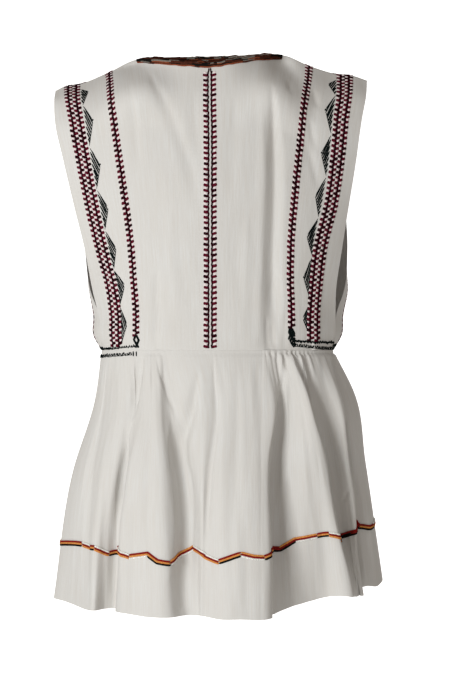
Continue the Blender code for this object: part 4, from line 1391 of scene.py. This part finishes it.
class FOLKTOP_OT_neck_binding(bpy.types.Operator):
    """Bind the neck edge with rows of wool yarn outside, over the edge and inside"""

    bl_idname = "folktop.neck_binding"
    bl_label = "Neck binding"

    def execute(self, context):
        front, back, hole = bodice()
        u = np.linspace(front.u[hole[0]], front.u[hole[1]], 110)
        top = front.v[-1]
        parts, steps = [], 2 * len(u) - 2
        n = np.arange(steps)
        rng = np.random.default_rng(77)
        wobble = sum(
            rng.uniform(0.25, 0.4) * np.sin(2 * math.pi * n * k / steps + rng.uniform(0, 6.28))
            for k in (5, 8, 13, 21)
        )
        bends = wobble[: len(u)], wobble[-np.arange(len(u)) % steps]

        def ring(depth, lift):
            """A closed path at a depth under the neck edge, front first and then back again behind."""
            halves = []
            for cloth, bend in zip((front, back), bends):
                step = cloth.at(u, np.full(len(u), top - 0.01)) - cloth.at(u, np.full(len(u), top))
                scale = np.linalg.norm(step, axis=1) / 0.01
                halves.append(cloth.at(u, top - (depth + bend) / scale, lift))
            return np.concatenate([halves[0], halves[1][-2:0:-1]])

        for depth, lift, half, order, seed in BINDING_ROWS:
            path = ring(depth, lift)
            along, side = beside(path, ring(depth + YARN_BEND, lift) - path)
            draw = np.random.default_rng(90 + seed)
            stretch = np.repeat(draw.integers(0, 4, 80), draw.integers(3, 9, 80))[:steps]
            kinds = np.array([WOOLS[c][0] for c in order])[stretch]
            swell = 1 + 0.12 * np.sin(n * 0.9 + seed) * np.sin(n * 0.37 + 2 * seed)
            p, f = yarn(path, side, np.cross(along, side), half * swell, 1.0 if half < 2 else 0.6)
            parts.append((p, f, np.repeat(kinds, YARN_SIDES)))
        settle(joined("neck_binding_yarn", parts, wools()), "binding", "neck_binding")
        return {"FINISHED"}


class FOLKTOP_OT_stage(bpy.types.Operator):
    """Set up the plain pale backdrop, the soft lights and the camera"""

    bl_idname = "folktop.stage"
    bl_label = "Studio"

    def execute(self, context):
        scene, s = context.scene, context.scene.folk_top_stage
        for name, points, side, glow in (
            ("floor", [(x, y, FLOOR) for y in (-4, BEHIND) for x in (-4, 4)], -1, 0.0),
            ("backdrop", [(x, BEHIND, z) for z in (FLOOR, 2.5) for x in (-2.8, 2.8)], 1, s.paper),
        ):
            m, tree, shader = blank("matt white paper " + name)
            shader.inputs["Base Color"].default_value = (*linear("#F4F4F3"), 1)
            shader.inputs["Roughness"].default_value = 1.0
            shader.inputs["Specular IOR Level"].default_value = 0.0
            shader.inputs["Emission Color"].default_value = (1, 1, 1, 1)
            shader.inputs["Emission Strength"].default_value = glow
            paper = piece(name, np.array(points) * 1000, net_faces(2, 2, side), [m])
            garment().objects.unlink(paper)
            scene.collection.objects.link(paper)
        world = bpy.data.worlds.new("soft room")
        world.use_nodes = True
        sky = world.node_tree.nodes["Background"]
        sky.inputs["Color"].default_value = (1.0, 0.94, 0.87, 1)
        sky.inputs["Strength"].default_value = s.room
        scene.world = world
        lamp = bpy.data.lights.new("key", "AREA")
        lamp.energy = s.key_power
        lamp.color = (0.98, 1.0, 1.0)
        lamp.shape = "SQUARE"
        lamp.size = 1.1
        light = bpy.data.objects.new("key", lamp)
        x, y, z = np.array(LAMP_AIM) - LAMP
        light.location = LAMP
        light.rotation_euler = (math.atan2(math.hypot(x, y), -z), 0, math.atan2(-x, y))
        scene.collection.objects.link(light)
        data = bpy.data.cameras.new("camera")
        data.sensor_fit = "VERTICAL"
        data.sensor_height = 24
        data.lens = data.sensor_height / 2 * s.distance / PICTURE_HALF
        data.dof.use_dof = False
        camera = bpy.data.objects.new("camera", data)
        camera.location = (PICTURE_MIDDLE[0], -s.distance, PICTURE_MIDDLE[1])
        camera.rotation_euler = (math.pi / 2, 0, 0)
        scene.collection.objects.link(camera)
        scene.camera = camera
        scene.view_settings.view_transform = "Standard"
        return {"FINISHED"}


class FOLKTOP_OT_sheets(bpy.types.Operator):
    """Does nothing: no panel is declared as a sheet of cloth, and no flat cut is given"""

    bl_idname = "folktop.sheets"
    bl_label = "Flat cuts"

    def execute(self, context):
        return {"FINISHED"}


class FOLKTOP_PT_panel(bpy.types.Panel):
    """Settings and steps of the embroidered top"""

    bl_label = "Folk Top"
    bl_idname = "FOLKTOP_PT_panel"
    bl_space_type = "VIEW_3D"
    bl_region_type = "UI"
    bl_category = "Folk Top"

    def draw(self, context):
        for name, _ in GROUPS:
            group = getattr(context.scene, name)
            box = self.layout.box()
            for key in group.__annotations__:
                box.prop(group, key)
        for step in STEPS:
            self.layout.operator(step.bl_idname)


GROUPS = (
    ("folk_top_cloth", ClothSettings),
    ("folk_top_thread", ThreadSettings),
    ("folk_top_stage", StageSettings),
)
STEPS = (
    FOLKTOP_OT_stage,
    FOLKTOP_OT_bodice,
    FOLKTOP_OT_skirt,
    FOLKTOP_OT_ladders,
    FOLKTOP_OT_triangles,
    FOLKTOP_OT_waist_stitches,
    FOLKTOP_OT_hem_braid,
    FOLKTOP_OT_neck_binding,
    FOLKTOP_OT_sheets,
)


def register():
    """Adds the settings, the steps and the panel."""
    for name, group in GROUPS:
        bpy.utils.register_class(group)
        setattr(bpy.types.Scene, name, bpy.props.PointerProperty(type=group))
    for c in STEPS + (FOLKTOP_PT_panel,):
        bpy.utils.register_class(c)


def unregister():
    """Takes them away again."""
    for c in reversed(STEPS + (FOLKTOP_PT_panel,)):
        bpy.utils.unregister_class(c)
    for name, group in reversed(GROUPS):
        delattr(bpy.types.Scene, name)
        bpy.utils.unregister_class(group)


def main():
    """Makes the top and its studio."""
    register()
    bpy.ops.folktop.stage()
    bpy.ops.folktop.bodice()
    bpy.ops.folktop.skirt()
    bpy.ops.folktop.ladders()
    bpy.ops.folktop.triangles()
    bpy.ops.folktop.waist_stitches()
    bpy.ops.folktop.hem_braid()
    bpy.ops.folktop.neck_binding()
    bpy.ops.folktop.sheets()


if __name__ == "__main__":
    main()
